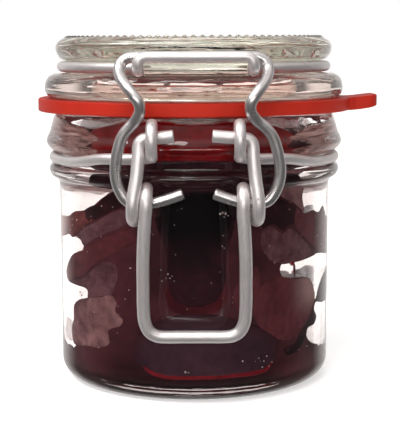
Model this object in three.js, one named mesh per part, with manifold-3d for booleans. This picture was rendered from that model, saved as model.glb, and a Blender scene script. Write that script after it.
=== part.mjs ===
// A small clip-top preserving jar of pickled beetroot, closed.
// Millimetres, +Z up. The origin is the centre of the jar's flat base, and
// the wire lever is on the front, which faces -Y. The rubber ring's pull tab
// points along +X and the hinge of the glass lid is at the back, on +Y.
//
// Pieces: the glass jar, the glass lid, the red rubber ring between them, the
// beetroot inside, and four bent wires. The neck wire lies in the jar's neck
// groove, carries an upright eye each side of the front and a raised hinge
// bar at the back. The lid wire lies in the lid's groove, hooks round that
// hinge bar and has a J-shaped tongue at the front. The lever wire turns in
// the two eyes, and makes a full coil each side. The link wire turns in
// those coils, and its top bar lies in the tongue.
import * as THREE from 'three';
import { mergeVertices } from 'three/addons/utils/BufferGeometryUtils.js';
import Module from 'manifold-3d';

const wasm = await Module();
wasm.setup();

// ---------------------------------------------------------------- sizes
const SEG = 32;             // steps round each turned piece

// jar
const BODY_R = 36.95;       // outside of the body
const FOOT_R = 31.9;        // flat of the base
const WALL_IN = 33.4;       // inside of the body and mouth
const FLOOR = 3.2;          // thickness of the base
const BEND = 5.5;           // inner corner at the base
const RIM_Z = 72.6;         // top of the jar's rim

// rubber ring
const RING_IN = 33.4, RING_OUT = 42.4;
const RING_Z0 = 72.9, RING_Z1 = 76.3;
const TAB_TIP = 49.6;       // how far the pull tab reaches
const TAB_HALF = 7.5;       // half its width

// lid
const LID_Z = 76.6;         // under side of the flange
const LID_TOP = 92.4;

// wires
const R_THIN = 1.4;         // neck, lid and link wires
const R_LEVER = 1.575;      // lever wire
const NECK_R = 38.3, NECK_Z = 60.4;      // neck wire in its groove
const LIDW_R = 35.8, LIDW_Z = 84.7;      // lid wire in its groove
const HINGE_D = -44.5, HINGE_Z = 80.5;   // hinge bar behind the jar
const EYE_R = 3.95, EYE_D = 45.0, EYE_Z = 67.5, EYE_X = 10.55;
const PIVOT_D = 45.0, PIVOT_Z = 68.1;    // the lever turns here
const COIL_R = 3.88, COIL_D = 44.0, COIL_Z = 52.0;
const LINK_D = 44.1, LINK_Z = 52.2;      // the link turns here
const BAR_D = 39.9, BAR_Z = 87.5;        // the link's top bar
const TONGUE_D = 44.2, TONGUE_Z = 87.5;  // the tongue's front bar

// beetroot
const FILL_R = 33.1, FILL_Z0 = 3.5, FILL_TOP = 67.5;

// ---------------------------------------------------------------- helpers
const rad = (deg) => (deg * Math.PI) / 180;
const finish = (color, roughness, metalness, extra = {}) =>
  new THREE.MeshStandardMaterial({ color, roughness, metalness, ...extra });

// A turned solid about Z from [radius, height] pairs that start and end on the
// axis, or close on themselves.
function turned(profile, segments = SEG) {
  const pts = profile.map(([r, z]) => new THREE.Vector2(r, z));
  const g = new THREE.LatheGeometry(pts, segments);
  g.rotateX(Math.PI / 2);
  return g;
}

// Points of a quarter turn between two profile points.
function corner(cr, cz, rho, a0, a1, n) {
  const out = [];
  for (let i = 0; i <= n; i++) {
    const a = rad(a0 + ((a1 - a0) * i) / n);
    out.push([cr + rho * Math.cos(a), cz + rho * Math.sin(a)]);
  }
  return out;
}

function toManifold(geometry) {
  const g = geometry.clone();
  g.deleteAttribute('normal');
  g.deleteAttribute('uv');
  const m = mergeVertices(g, 1e-4);
  const tri = m.index.array;
  const v = m.attributes.position.array;
  // leave out triangles that the merge has closed up, as on a lathe's axis
  const keep = [];
  for (let i = 0; i < tri.length; i += 3) {
    const [a, b, c] = [tri[i], tri[i + 1], tri[i + 2]];
    if (a !== b && b !== c && a !== c) keep.push(a, b, c);
  }
  let solid = new wasm.Manifold(new wasm.Mesh({
    numProp: 3,
    vertProperties: new Float32Array(v),
    triVerts: new Uint32Array(keep),
  }));
  return solid;
}

function fromManifold(solid) {
  const mesh = solid.getMesh();
  const g = new THREE.BufferGeometry();
  const n = mesh.numProp;
  const v = new Float32Array((mesh.vertProperties.length / n) * 3);
  for (let i = 0; i < v.length / 3; i++) {
    for (let k = 0; k < 3; k++) v[3 * i + k] = mesh.vertProperties[n * i + k];
  }
  g.setAttribute('position', new THREE.BufferAttribute(v, 3));
  g.setIndex(new THREE.BufferAttribute(new Uint32Array(mesh.triVerts), 1));
  return g;
}

// A wire's centre line: stations that lie close together in tight bends and
// further apart on long runs.
class WireLine extends THREE.Curve {
  constructor(points, longest = 7.5, turn = 31) {
    super();
    const smooth = new THREE.CatmullRomCurve3(points, false, 'centripetal');
    const n = Math.ceil(smooth.getLength() / 0.25);
    smooth.arcLengthDivisions = n * 4;
    smooth.updateArcLengths();
    const fine = smooth.getSpacedPoints(n);
    const cost = [0];
    for (let i = 1; i < fine.length; i++) {
      const step = fine[i].distanceTo(fine[i - 1]);
      let bend = 0;
      if (i > 1) {
        const a = fine[i].clone().sub(fine[i - 1]).normalize();
        const b = fine[i - 1].clone().sub(fine[i - 2]).normalize();
        bend = Math.acos(Math.min(1, Math.max(-1, a.dot(b)))) / rad(turn);
      }
      cost.push(cost[i - 1] + step / longest + bend);
    }
    const count = Math.ceil(cost[cost.length - 1]);
    this.stations = [];
    let j = 0;
    for (let i = 0; i <= count; i++) {
      const want = (cost[cost.length - 1] * i) / count;
      while (j < cost.length - 2 && cost[j + 1] < want) j++;
      const f = (want - cost[j]) / (cost[j + 1] - cost[j] || 1);
      this.stations.push(fine[j].clone().lerp(fine[j + 1], Math.min(1, Math.max(0, f))));
    }
    this.count = count;
  }
  getPoint(t) {
    const u = t * this.count;
    const i = Math.min(this.count - 1, Math.floor(u + 1e-9));
    return this.stations[i].clone().lerp(this.stations[i + 1], u - i);
  }
  getPointAt(u) { return this.getPoint(u); }
  getTangentAt(u) {
    const i = Math.round(u * this.count);
    const a = this.stations[Math.max(0, i - 1)];
    const b = this.stations[Math.min(this.count, i + 1)];
    const c = this.stations[i];
    const before = c.clone().sub(a).normalize();
    const after = b.clone().sub(c).normalize();
    return before.add(after).normalize();
  }
}

function wire(points, radius, sides = 8) {
  const line = new WireLine(points);
  const section = new THREE.Shape();
  for (let i = 0; i < sides; i++) {
    const a = (2 * Math.PI * (i + 0.5)) / sides;
    const x = 1.015 * radius * Math.cos(a), y = 1.015 * radius * Math.sin(a);
    if (i) section.lineTo(x, y); else section.moveTo(x, y);
  }
  section.closePath();
  return new THREE.ExtrudeGeometry(section, {
    steps: line.count, extrudePath: line, bevelEnabled: false,
  });
}

// The wires are written with d, the distance in front of the jar's axis.
const at = (x, d, z) => new THREE.Vector3(x, -d, z);
// both halves of a wire: the right one backwards, then the left one
function bothHalves(half) {
  const right = half(1), left = half(-1);
  return [...left, ...right.slice(0, -1).reverse()];
}
const mix = (a, b, t) => a + (b - a) * Math.min(1, Math.max(0, t));
// value from a table of [z, value], falling z
function table(rows, z) {
  for (let i = 1; i < rows.length; i++) {
    if (z >= rows[i][0]) {
      const t = (z - rows[i][0]) / (rows[i - 1][0] - rows[i][0]);
      return mix(rows[i][1], rows[i - 1][1], t);
    }
  }
  return rows[rows.length - 1][1];
}

// ---------------------------------------------------------------- jar
// Outside: flat base, rounded corner, straight wall, a small shoulder, the
// lower bead, the wire's groove, the upper bead, and the neck up to the rim.
const jarProfile = [
  [0, 0],
  ...corner(FOOT_R, BODY_R - FOOT_R, BODY_R - FOOT_R, -90, 0, 5),
  [BODY_R, 52.6], [37.15, 54.0], [37.6, 54.9], [38.9, 55.5], [39.55, 56.5],
  [39.6, 57.6], [39.2, 58.4], [37.3, 58.75], [36.6, 59.3], [36.6, 61.5],
  [37.3, 62.1], [38.7, 62.3], [39.75, 63.4], [40.4, 64.6], [40.1, 65.8],
  [39.4, 67.2], [39.0, 68.9], [38.3, 71.2], [37.7, RIM_Z],
  [34.2, RIM_Z], [WALL_IN, 71.8],
  [WALL_IN, FLOOR + BEND],
  ...corner(WALL_IN - BEND, FLOOR + BEND, BEND, 0, -90, 3).slice(1),
  [0, FLOOR],
];

// ---------------------------------------------------------------- lid
// Flange on the ring, a plug that drops into the mouth, a hollow under side,
// the wire's groove, and a raised stacking rim on top.
const lidProfile = [
  [0, 84.2], [23.5, 84.2], [26.6, 83.0], [27.8, 80.2], [28.4, 74.6],
  [29.2, 73.9], [31.0, 73.9], [31.8, 74.7], [32.2, LID_Z],
  [39.5, LID_Z], [40.4, 77.4], [40.6, 78.6], [40.3, 80.9], [39.6, 82.1],
  [38.1, 82.9], [34.6, 83.0], [34.1, 83.4], [34.1, 86.0], [34.6, 86.4],
  [36.2, 86.7], [36.8, 87.6], [37.3, 88.7], [37.5, 89.9], [37.1, 91.0],
  [35.9, 92.0], [34.4, LID_TOP], [32.4, LID_TOP], [31.2, 91.7], [30.4, 90.2],
  [28.6, 89.4], [0, 89.4],
];

// ---------------------------------------------------------------- rubber ring
function rubberRing() {
  const ring = toManifold(turned([
    [RING_IN, RING_Z0], [RING_OUT - 0.5, RING_Z0], [RING_OUT, RING_Z0 + 0.6],
    [RING_OUT, RING_Z1 - 0.6], [RING_OUT - 0.5, RING_Z1], [RING_IN, RING_Z1],
    [RING_IN, RING_Z0],
  ], 40));
  // the tab's outline from above
  const plan = new THREE.Shape();
  const r = 3;
  plan.moveTo(39.6, -TAB_HALF - 1.5);
  plan.quadraticCurveTo(42.6, -TAB_HALF - 0.4, 44, -TAB_HALF);
  plan.lineTo(TAB_TIP - r, -TAB_HALF);
  plan.absarc(TAB_TIP - r, -TAB_HALF + r, r, -Math.PI / 2, 0, false);
  plan.absarc(TAB_TIP - r, TAB_HALF - r, r, 0, Math.PI / 2, false);
  plan.lineTo(44, TAB_HALF);
  plan.quadraticCurveTo(42.6, TAB_HALF + 0.4, 39.6, TAB_HALF + 1.5);
  plan.closePath();
  const planBlock = new THREE.ExtrudeGeometry(plan, {
    depth: 12, bevelEnabled: false, curveSegments: 3,
  });
  planBlock.translate(0, 0, 68);
  // the tab's side: it leaves the ring level and then curls up a little
  const side = new THREE.Shape();
  const lift = (x) => 1.05 * Math.pow(Math.max(0, x - 42) / 7.6, 1.6);
  const xs = [38, 42, 44, 46, 48, 51];
  side.moveTo(xs[0], RING_Z0 + 0.1);
  for (const x of xs.slice(1)) side.lineTo(x, RING_Z0 + 0.1 + lift(x));
  for (const x of xs.slice().reverse()) side.lineTo(x, RING_Z1 - 0.1 + 0.8 * lift(x));
  side.closePath();
  const sideBlock = new THREE.ExtrudeGeometry(side, { depth: 30, bevelEnabled: false });
  sideBlock.rotateX(Math.PI / 2);
  sideBlock.translate(0, 15, 0);
  const bore = toManifold(turned([[0, 60], [RING_IN + 2.5, 60], [RING_IN + 2.5, 90], [0, 90]], 40));
  const tab = toManifold(planBlock).intersect(toManifold(sideBlock)).subtract(bore);
  return fromManifold(ring.add(tab));
}

// ---------------------------------------------------------------- beetroot
// Slices packed against the glass, with clear pockets left at both sides.
function beetroot() {
  let body = toManifold(turned([
    [0, FILL_Z0],
    ...corner(FILL_R - 5.4, FILL_Z0 + 5.4, 5.4, -90, 0, 3),
    [FILL_R, 64.5], [30.5, 66.6], [22, FILL_TOP], [11, 66.9], [0, 67.3],
  ]));
  // each pocket's outline in X and Z, seen from the front
  const pockets = [
    [[-40, 55.5], [-27, 56.5], [-19.6, 55.5], [-20.6, 52.5], [-25, 48.5], [-29.9, 45.5], [-33.1, 43], [-40, 43]],
    [[-40, 37.5], [-30.4, 38.4], [-28, 37.4], [-31.4, 33], [-32, 29], [-27.2, 26], [-27.2, 23.6],
      [-30.5, 17.1], [-30.3, 10.6], [-40, 12.5]],
    [[40, 55.5], [25.4, 55.3], [27.4, 46.6], [30.9, 46], [40, 43.6]],
    [[40, 33], [27.1, 33.4], [22.2, 33.2], [22.6, 30.4], [28.7, 28.8], [30.4, 22.6], [32.2, 28], [40, 28]],
    [[40, 19.8], [30.5, 20.8], [28.4, 14.1], [29.8, 11.5], [40, 14]],
  ];  for (const outline of pockets) {
    const shape = new THREE.Shape();
    outline.forEach(([x, z], i) => (i ? shape.lineTo(x, z) : shape.moveTo(x, z)));
    shape.closePath();
    const block = new THREE.ExtrudeGeometry(shape, { depth: 90, bevelEnabled: false });
    block.rotateX(Math.PI / 2);
    block.translate(0, 45, 0);
    let cut = toManifold(block);
    if (cut.volume() < 0) throw new Error('pocket inside out');
    body = body.subtract(cut);
  }
  return fromManifold(body);
}

// ---------------------------------------------------------------- wires
// Neck wire, from the end of its eye round to the middle of the hinge bar.
function neckHalf(s) {
  const xe = 0.45 + s * EYE_X;
  const out = [];
  for (let a = 285; a >= 0; a -= 15) {
    out.push(at(xe, EYE_D + EYE_R * Math.sin(rad(a)), EYE_Z - EYE_R * Math.cos(rad(a))));
  }
  out.push(at(xe + s * 0.35, 43.2, 63.4), at(xe + s * 1.5, 41.5, 63.0),
    at(s * 15.0, 39.8, 62.7), at(s * 17.8, 38.4, 62.55));
  const rise = [[31, 41.9, 62.4], [35.5, 41.4, 62.1], [40, 40.8, 61.6], [45, 40.0, 61.1],
    [50, 39.3, 60.7], [56, 38.6, 60.45], [63, NECK_R, NECK_Z]];
  for (const [a, r, z] of rise) out.push(at(s * r * Math.sin(rad(a)), r * Math.cos(rad(a)), z));
  for (let a = 72; a <= 158; a += 8.6) {
    out.push(at(s * NECK_R * Math.sin(rad(a)), NECK_R * Math.cos(rad(a)), NECK_Z));
  }
  out.push(at(s * 11.4, -38.2, 60.7), at(s * 10.2, -41.3, 61.7), at(s * 10, -43.6, 63.6),
    at(s * 10, HINGE_D, 66.4), at(s * 10, HINGE_D, 71), at(s * 10, HINGE_D, 76.4),
    at(s * 9.2, HINGE_D, 79.2), at(s * 7.0, HINGE_D, HINGE_Z), at(s * 4, HINGE_D, HINGE_Z),
    at(0, HINGE_D, HINGE_Z));
  return out;
}

// Lid wire, from the end of its hook round to the middle of the tongue's bar.
function lidHalf(s) {
  const out = [];
  const hook = 3.2;
  for (let b = 188; b >= 0; b -= 23.5) {
    out.push(at(s * 5, HINGE_D - hook * Math.sin(rad(b)), HINGE_Z + hook * Math.cos(rad(b))));
  }
  out.push(at(s * 5.0, -42.3, 83.85), at(s * 5.1, -40.2, 84.25), at(s * 5.3, -38.2, 84.65),
    at(s * 6.2, -36.5, LIDW_Z));
  for (let a = 166; a >= 31; a -= 9) {
    out.push(at(s * LIDW_R * Math.sin(rad(a)), LIDW_R * Math.cos(rad(a)), LIDW_Z));
  }
  const c = 0.5, h = 13.9;
  out.push(at(s * 16.2 + 0.4 * c, 31.9, LIDW_Z), at(c + s * (h + 0.75), 33.3, LIDW_Z),
    at(c + s * (h + 0.1), 35.0, LIDW_Z), at(c + s * h, 37.0, 84.6), at(c + s * h, 38.9, 84.25),
    at(c + s * h, 40.8, 84.08), at(c + s * h, 42.7, 84.2), at(c + s * h, 43.8, 84.95),
    at(c + s * (h - 0.05), TONGUE_D, 86.0), at(c + s * (h - 0.55), TONGUE_D, 86.95),
    at(c + s * (h - 1.6), TONGUE_D, 87.42), at(c + s * (h - 3.4), TONGUE_D, TONGUE_Z),
    at(c + s * 5, TONGUE_D, TONGUE_Z), at(c, TONGUE_D, TONGUE_Z));
  return out;
}

// Lever wire, from the end of its pin down to the middle of the handle.
function leverHalf(s) {
  const c = 0.45;
  const out = [at(-0.2 + s * 4.63, PIVOT_D, 68.65), at(c + s * 8, PIVOT_D, 68.35),
    at(c + s * 11.3, PIVOT_D, 68.1), at(c + s * 12.5, PIVOT_D, 67.9),
    at(c + s * 13.35, PIVOT_D, 67.2), at(c + s * 13.7, 45.1, 66.1),
    at(c + s * 13.8, 45.45, 64.0), at(c + s * 14.0, 46.0, 61.3),
    at(c + s * 14.3, 46.7, 58.4), at(0.4 + s * 14.75, 47.4, 55.5),
    at(0.38 + s * 15.05, 47.8, 53.5)];
  for (let a = 0; a <= 360; a += 18) {
    const t = mix(0, 1, (a - 40) / 230);
    const x = 15.15 - 3.45 * t * t * (3 - 2 * t);
    out.push(at(mix(0.35, 0.15, a / 360) + s * x, COIL_D + COIL_R * Math.cos(rad(a)),
      COIL_Z - COIL_R * Math.sin(rad(a))));
  }
  const arm = [[11.75, 47.8, 50.2], [12.0, 47.65, 47], [12.25, 47.3, 43], [12.45, 46.8, 38],
    [12.5, 46.0, 32], [12.5, 45.1, 26.6], [12.2, 44.65, 23.0], [11.1, 44.35, 20.6],
    [9.3, 44.2, 19.45], [7.2, 44.1, 19.2], [3.5, 44.1, 19.2], [0, 44.1, 19.2]];
  for (const [x, d, z] of arm) out.push(at(0.05 + s * x, d, z));
  return out;
}

// Link wire, from the end of its pin up to the middle of its top bar.
function linkHalf(s) {
  const shift = [[84, 0], [80, 0.1], [77, 0.25], [73, 0.45], [70.5, 0.8], [60, 0.95], [54, 0.9]];
  const half = [
    [3.8, LINK_D, 54.6], [8.0, LINK_D, 53.15], [10.6, LINK_D, 52.45], [12.8, LINK_D, LINK_Z],
    [15.2, LINK_D, LINK_Z], [16.7, LINK_D, 52.65], [17.95, LINK_D, 53.8], [19.05, LINK_D, 55.8],
    [19.75, 44.15, 58.2], [19.9, 44.2, 60.6], [19.6, 44.3, 63.3], [19.15, 44.4, 65.3],
    [18.4, 44.5, 67.7], [17.6, 44.6, 69.2], [16.3, 44.8, 70.7], [15.0, 45.1, 71.9],
    [13.9, 45.7, 73.2], [13.2, 46.4, 74.8], [13.2, 46.8, 76.1], [13.7, 46.9, 77.3],
    [14.6, 46.6, 78.5], [15.6, 45.8, 79.8], [16.5, 44.6, 80.9], [17.35, 43.1, 82.1],
    [17.9, 41.5, 83.4], [18.0, 40.4, 84.8], [17.4, BAR_D, 86.25], [15.9, BAR_D, 87.25],
    [13.9, BAR_D, BAR_Z], [7, BAR_D, BAR_Z], [0, BAR_D, BAR_Z]];
  return half.map(([x, d, z], i) => {
    const c = i < 4 ? mix(1.1, 0.95, i / 4) : table(shift, z);
    return at(c + s * x, d, z);
  });
}

// ---------------------------------------------------------------- the jar
const steel = () => finish(0xb9b6b4, 0.32, 1.0);
const group = new THREE.Group();
function add(name, geometry, material) {
  const mesh = new THREE.Mesh(geometry, material);
  mesh.name = name;
  group.add(mesh);
  return mesh;
}

add('jar_glass', turned(jarProfile),
  finish(0xdfe6e4, 0.04, 0.0, { transparent: true, opacity: 0.35 }));
add('lid_glass', turned(lidProfile),
  finish(0xc3cdc8, 0.05, 0.0, { transparent: true, opacity: 0.4 }));
add('rubber_ring', rubberRing(), finish(0xc8301c, 0.62, 0.0));
add('beetroot', beetroot(), finish(0x3a0f1a, 0.35, 0.0));
add('neck_wire', wire(bothHalves(neckHalf), R_THIN), steel());
add('lid_wire', wire(bothHalves(lidHalf), R_THIN), steel());
add('lever_wire', wire(bothHalves(leverHalf), R_LEVER), steel());
add('link_wire', wire(bothHalves(linkHalf), R_THIN), steel());

export default group;
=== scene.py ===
import bpy
import math
import random
import numpy as np
from mathutils import Vector, Matrix, noise, geometry


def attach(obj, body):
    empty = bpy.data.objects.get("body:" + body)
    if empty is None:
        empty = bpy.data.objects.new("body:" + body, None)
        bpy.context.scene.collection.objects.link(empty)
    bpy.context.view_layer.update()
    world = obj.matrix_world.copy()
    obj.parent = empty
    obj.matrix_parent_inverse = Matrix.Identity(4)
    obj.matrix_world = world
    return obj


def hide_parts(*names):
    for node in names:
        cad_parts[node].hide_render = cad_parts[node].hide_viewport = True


# A small clip-top preserving jar of pickled beetroot. Lengths in this script
# are in millimetres until a mesh is made; the scene itself is in metres.

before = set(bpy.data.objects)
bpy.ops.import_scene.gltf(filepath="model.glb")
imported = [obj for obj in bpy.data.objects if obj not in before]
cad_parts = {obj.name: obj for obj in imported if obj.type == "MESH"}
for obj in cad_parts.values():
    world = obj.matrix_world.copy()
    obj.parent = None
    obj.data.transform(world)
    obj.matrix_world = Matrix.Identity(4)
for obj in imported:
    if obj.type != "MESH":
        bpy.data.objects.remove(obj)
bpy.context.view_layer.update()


MM = 0.001
W, H = 400, 432            # the picture's frame
rad = math.radians

# ------------------------------------------------------------------ camera
FOCAL = 1250.0             # in picture pixels
CAM = Vector((0.0, -344.6, 90.0))
PITCH = rad(7.73)
AXIS_PX = 194.1            # column where the jar's axis stands
camera_data = bpy.data.cameras.new("camera")
camera_data.sensor_fit = "AUTO"
camera_data.sensor_width = 36.0
camera_data.lens = FOCAL * 36.0 / H
camera_data.shift_x = (W / 2 - AXIS_PX) / H
camera_data.clip_start = 0.01
camera_data.clip_end = 50.0
camera = bpy.data.objects.new("camera", camera_data)
bpy.context.scene.collection.objects.link(camera)
turn = Matrix.Rotation(math.pi / 2 - PITCH, 4, "X") @ Matrix.Rotation(-0.003, 4, "Z")
camera.matrix_world = Matrix.Translation(CAM * MM) @ turn
bpy.context.scene.camera = camera

# ------------------------------------------------------------------ sizes
BODY_R, FOOT_R, WALL_IN, FLOOR, RIM_Z = 36.95, 31.9, 33.4, 3.2, 72.6
INNER_CORNER = 5.5
RING_IN, RING_OUT, RING_Z0, RING_Z1 = 33.4, 42.4, 72.9, 76.3
TAB_TIP, TAB_HALF = 49.6, 7.5
LID_Z, LID_TOP = 76.6, 92.4
R_THIN, R_LEVER = 1.4, 1.575
NECK_R, NECK_Z = 38.3, 60.4
LIDW_R, LIDW_Z = 35.8, 84.7
HINGE_D, HINGE_Z = -44.5, 80.5
EYE_R, EYE_D, EYE_Z, EYE_X = 3.95, 45.0, 67.5, 10.55
PIVOT_D = 45.0
COIL_R, COIL_D, COIL_Z = 3.88, 44.0, 52.0
LINK_D, LINK_Z = 44.1, 52.2
BAR_D, BAR_Z = 39.9, 87.5
TONGUE_D, TONGUE_Z = 44.2, 87.5
CONTACT = 33.52            # contents pressed on the glass reach just into it


# ------------------------------------------------------------------ helpers
def mesh_object(name, verts, faces, materials, smooth=True, face_mat=None):
    """verts in mm; faces as index tuples."""
    me = bpy.data.meshes.new(name)
    me.from_pydata([tuple(np.asarray(v, float) * MM) for v in verts], [], [tuple(f) for f in faces])
    me.validate()
    for m in materials:
        me.materials.append(m)
    if face_mat is not None and len(face_mat) == len(me.polygons):
        me.polygons.foreach_set("material_index", np.asarray(face_mat, np.int32))
    if smooth:
        me.polygons.foreach_set("use_smooth", np.ones(len(me.polygons), bool))
    me.update()
    ob = bpy.data.objects.new(name, me)
    bpy.context.scene.collection.objects.link(ob)
    return ob


def wobble(x, y, z, scale):
    return noise.noise(Vector((x / scale, y / scale, z / scale)))


def filleted(profile, reach=0.7, steps=4, closed=False):
    """A profile with its corners rounded off."""
    pts = [np.array(p, float) for p in profile]
    n = len(pts)
    out = []
    for i, p in enumerate(pts):
        if not closed and i in (0, n - 1):
            out.append(p)
            continue
        a, b = pts[(i - 1) % n], pts[(i + 1) % n]
        la, lb = np.linalg.norm(a - p), np.linalg.norm(b - p)
        d = min(reach, 0.47 * la, 0.47 * lb)
        s, e = p + (a - p) / la * d, p + (b - p) / lb * d
        cos = np.dot((p - a) / la, (b - p) / lb)
        if cos > 0.9995:
            out.append(p)
            continue
        for k in range(steps + 1):
            t = k / steps
            out.append((1 - t) ** 2 * s + 2 * t * (1 - t) * p + t * t * e)
    return out


def divided(profile, longest):
    out = [np.array(profile[0], float)]
    for p in profile[1:]:
        p = np.array(p, float)
        gap = np.linalg.norm(p - out[-1])
        n = max(1, int(math.ceil(gap / longest)))
        a = out[-1]
        out += [a + (p - a) * (k + 1) / n for k in range(n)]
    return out


def lathe(profile, segments, shape=None):
    """Closed solid turned about Z. The profile runs from the axis to the axis."""
    verts, faces, rows = [], [], []
    for r, z in profile:
        if r < 1e-6:
            rows.append([len(verts)])
            verts.append((0.0, 0.0, z))
            continue
        row = []
        for i in range(segments):
            a = 2 * math.pi * i / segments
            rr, zz = (r, z) if shape is None else shape(r, z, a)
            row.append(len(verts))
            verts.append((rr * math.sin(a), -rr * math.cos(a), zz))
        rows.append(row)
    for a, b in zip(rows, rows[1:]):
        for i in range(segments):
            j = (i + 1) % segments
            if len(a) == 1 and len(b) == 1:
                continue
            if len(a) == 1:
                faces.append((a[0], b[j], b[i]))
            elif len(b) == 1:
                faces.append((a[i], a[j], b[0]))
            else:
                faces.append((a[i], a[j], b[j], b[i]))
    return verts, faces


def corner(cr, cz, rho, a0, a1, n):
    return [(cr + rho * math.cos(rad(a0 + (a1 - a0) * i / n)),
             cz + rho * math.sin(rad(a0 + (a1 - a0) * i / n))) for i in range(n + 1)]


# ------------------------------------------------------------------ materials
def principled(name):
    m = bpy.data.materials.new(name)
    m.use_nodes = True
    nt = m.node_tree
    return m, nt, nt.nodes["Principled BSDF"]


def node(nt, kind, **values):
    n = nt.nodes.new(kind)
    for k, v in values.items():
        if k in n.inputs:
            n.inputs[k].default_value = v
        else:
            setattr(n, k, v)
    return n


def ramp(nt, source, stops):
    r = nt.nodes.new("ShaderNodeValToRGB")
    while len(r.color_ramp.elements) < len(stops):
        r.color_ramp.elements.new(0.5)
    for e, (p, c) in zip(r.color_ramp.elements, stops):
        e.position = p
        e.color = (*c, 1.0) if len(c) == 3 else c
    nt.links.new(source, r.inputs["Fac"])
    return r.outputs["Color"]


def noise_tex(nt, scale, detail=3.0, rough=0.55, distortion=0.0, vector=None):
    n = node(nt, "ShaderNodeTexNoise", Scale=scale, Detail=detail, Roughness=rough,
             Distortion=distortion)
    if vector is None:
        tc = nt.nodes.new("ShaderNodeTexCoord")
        vector = tc.outputs["Object"]
    nt.links.new(vector, n.inputs["Vector"])
    return n


def bump(nt, height, strength, distance):
    b = node(nt, "ShaderNodeBump", Strength=strength, Distance=distance)
    nt.links.new(height, b.inputs["Height"])
    return b.outputs["Normal"]


def srgb(text):
    c = [int(text[i:i + 2], 16) / 255 for i in (1, 3, 5)]
    return tuple(v / 12.92 if v <= 0.04045 else ((v + 0.055) / 1.055) ** 2.4 for v in c)


def mixed(nt, a, b, factor, blend="MIX"):
    m = nt.nodes.new("ShaderNodeMix")
    m.data_type = "RGBA"
    m.blend_type = blend
    for sock, v in ((m.inputs[6], a), (m.inputs[7], b), (m.inputs[0], factor)):
        if isinstance(v, bpy.types.NodeSocket):
            nt.links.new(v, sock)
        elif isinstance(v, (int, float)):
            sock.default_value = v
        else:
            sock.default_value = (*v, 1.0)
    return m.outputs[2]


def glass(name, tint, wave, fine, low_tint=None):
    """Pressed glass: faint ripples that run round the piece, and finer ones."""
    m, nt, p = principled(name)
    if low_tint is None:
        p.inputs["Base Color"].default_value = (*tint, 1)
    # below a height of 82 to 86 mm the glass takes a second, rose tint: painted light, the red of the ring and beetroot
    # showing in the lid's lower part
    else:
        where = nt.nodes.new("ShaderNodeTexCoord")
        height = nt.nodes.new("ShaderNodeSeparateXYZ")
        nt.links.new(where.outputs["Object"], height.inputs[0])
        span = node(nt, "ShaderNodeMapRange")
        span.inputs["From Min"].default_value = 82.0 * MM
        span.inputs["From Max"].default_value = 86.0 * MM
        nt.links.new(height.outputs["Z"], span.inputs["Value"])
        nt.links.new(ramp(nt, span.outputs["Result"], [(0.0, low_tint), (1.0, tint)]), p.inputs["Base Color"])
    p.inputs["Transmission Weight"].default_value = 1.0
    p.inputs["IOR"].default_value = 1.5
    p.inputs["Roughness"].default_value = 0.0
    tc = nt.nodes.new("ShaderNodeTexCoord")
    squeeze = node(nt, "ShaderNodeMapping")
    squeeze.inputs["Scale"].default_value = (1.0, 1.0, 7.0)
    nt.links.new(tc.outputs["Object"], squeeze.inputs["Vector"])
    broad = noise_tex(nt, 55.0, 2.0, 0.5, 0.4, squeeze.outputs["Vector"])
    small = noise_tex(nt, 240.0, 2.0, 0.5, 0.2, squeeze.outputs["Vector"])
    one = bump(nt, broad.outputs["Fac"], wave, 0.002)
    b = node(nt, "ShaderNodeBump", Strength=fine, Distance=0.0004)
    nt.links.new(small.outputs["Fac"], b.inputs["Height"])
    nt.links.new(one, b.inputs["Normal"])
    nt.links.new(b.outputs["Normal"], p.inputs["Normal"])
    return m


def steel(name, base, roughness, metal=0.78):
    """Drawn wire: fine streaks along its length, a few nicks."""
    m, nt, p = principled(name)
    p.inputs["Metallic"].default_value = metal
    p.inputs["Specular IOR Level"].default_value = 0.3
    uv = nt.nodes.new("ShaderNodeUVMap")
    uv.uv_map = "wire"
    stretch = node(nt, "ShaderNodeMapping")
    stretch.inputs["Scale"].default_value = (14.0, 1.1, 1.0)
    nt.links.new(uv.outputs["UV"], stretch.inputs["Vector"])
    streaks = noise_tex(nt, 3.0, 4.0, 0.6, vector=stretch.outputs["Vector"])
    nicks = noise_tex(nt, 900.0, 2.0, 0.5)
    broad = noise_tex(nt, 120.0, 2.0, 0.5)
    dark = tuple(v * 0.80 for v in base)
    c = ramp(nt, streaks.outputs["Fac"], [(0.25, dark), (0.55, base), (0.8, tuple(min(1, v * 1.06) for v in base))])
    spots = ramp(nt, nicks.outputs["Fac"], [(0.235, (0.45, 0.42, 0.41)), (0.28, (1, 1, 1))])
    nt.links.new(mixed(nt, c, spots, 1.0, "MULTIPLY"), p.inputs["Base Color"])
    r = node(nt, "ShaderNodeMapRange")
    r.inputs["To Min"].default_value = roughness - 0.07
    r.inputs["To Max"].default_value = roughness + 0.10
    nt.links.new(broad.outputs["Fac"], r.inputs["Value"])
    nt.links.new(r.outputs["Result"], p.inputs["Roughness"])
    nt.links.new(bump(nt, streaks.outputs["Fac"], 0.25, 0.0002), p.inputs["Normal"])
    return m


def rubber(name):
    m, nt, p = principled(name)
    broad = noise_tex(nt, 60.0, 3.0, 0.6)
    fine = noise_tex(nt, 1500.0, 2.0, 0.5)
    c = ramp(nt, broad.outputs["Fac"], [(0.3, (0.325, 0.0150, 0.0066)), (0.7, (0.385, 0.0185, 0.0084))])
    nt.links.new(c, p.inputs["Base Color"])
    p.inputs["Roughness"].default_value = 0.50
    p.inputs["Specular IOR Level"].default_value = 0.10
    nt.links.new(bump(nt, fine.outputs["Fac"], 0.12, 0.0002), p.inputs["Normal"])
    return m


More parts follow.
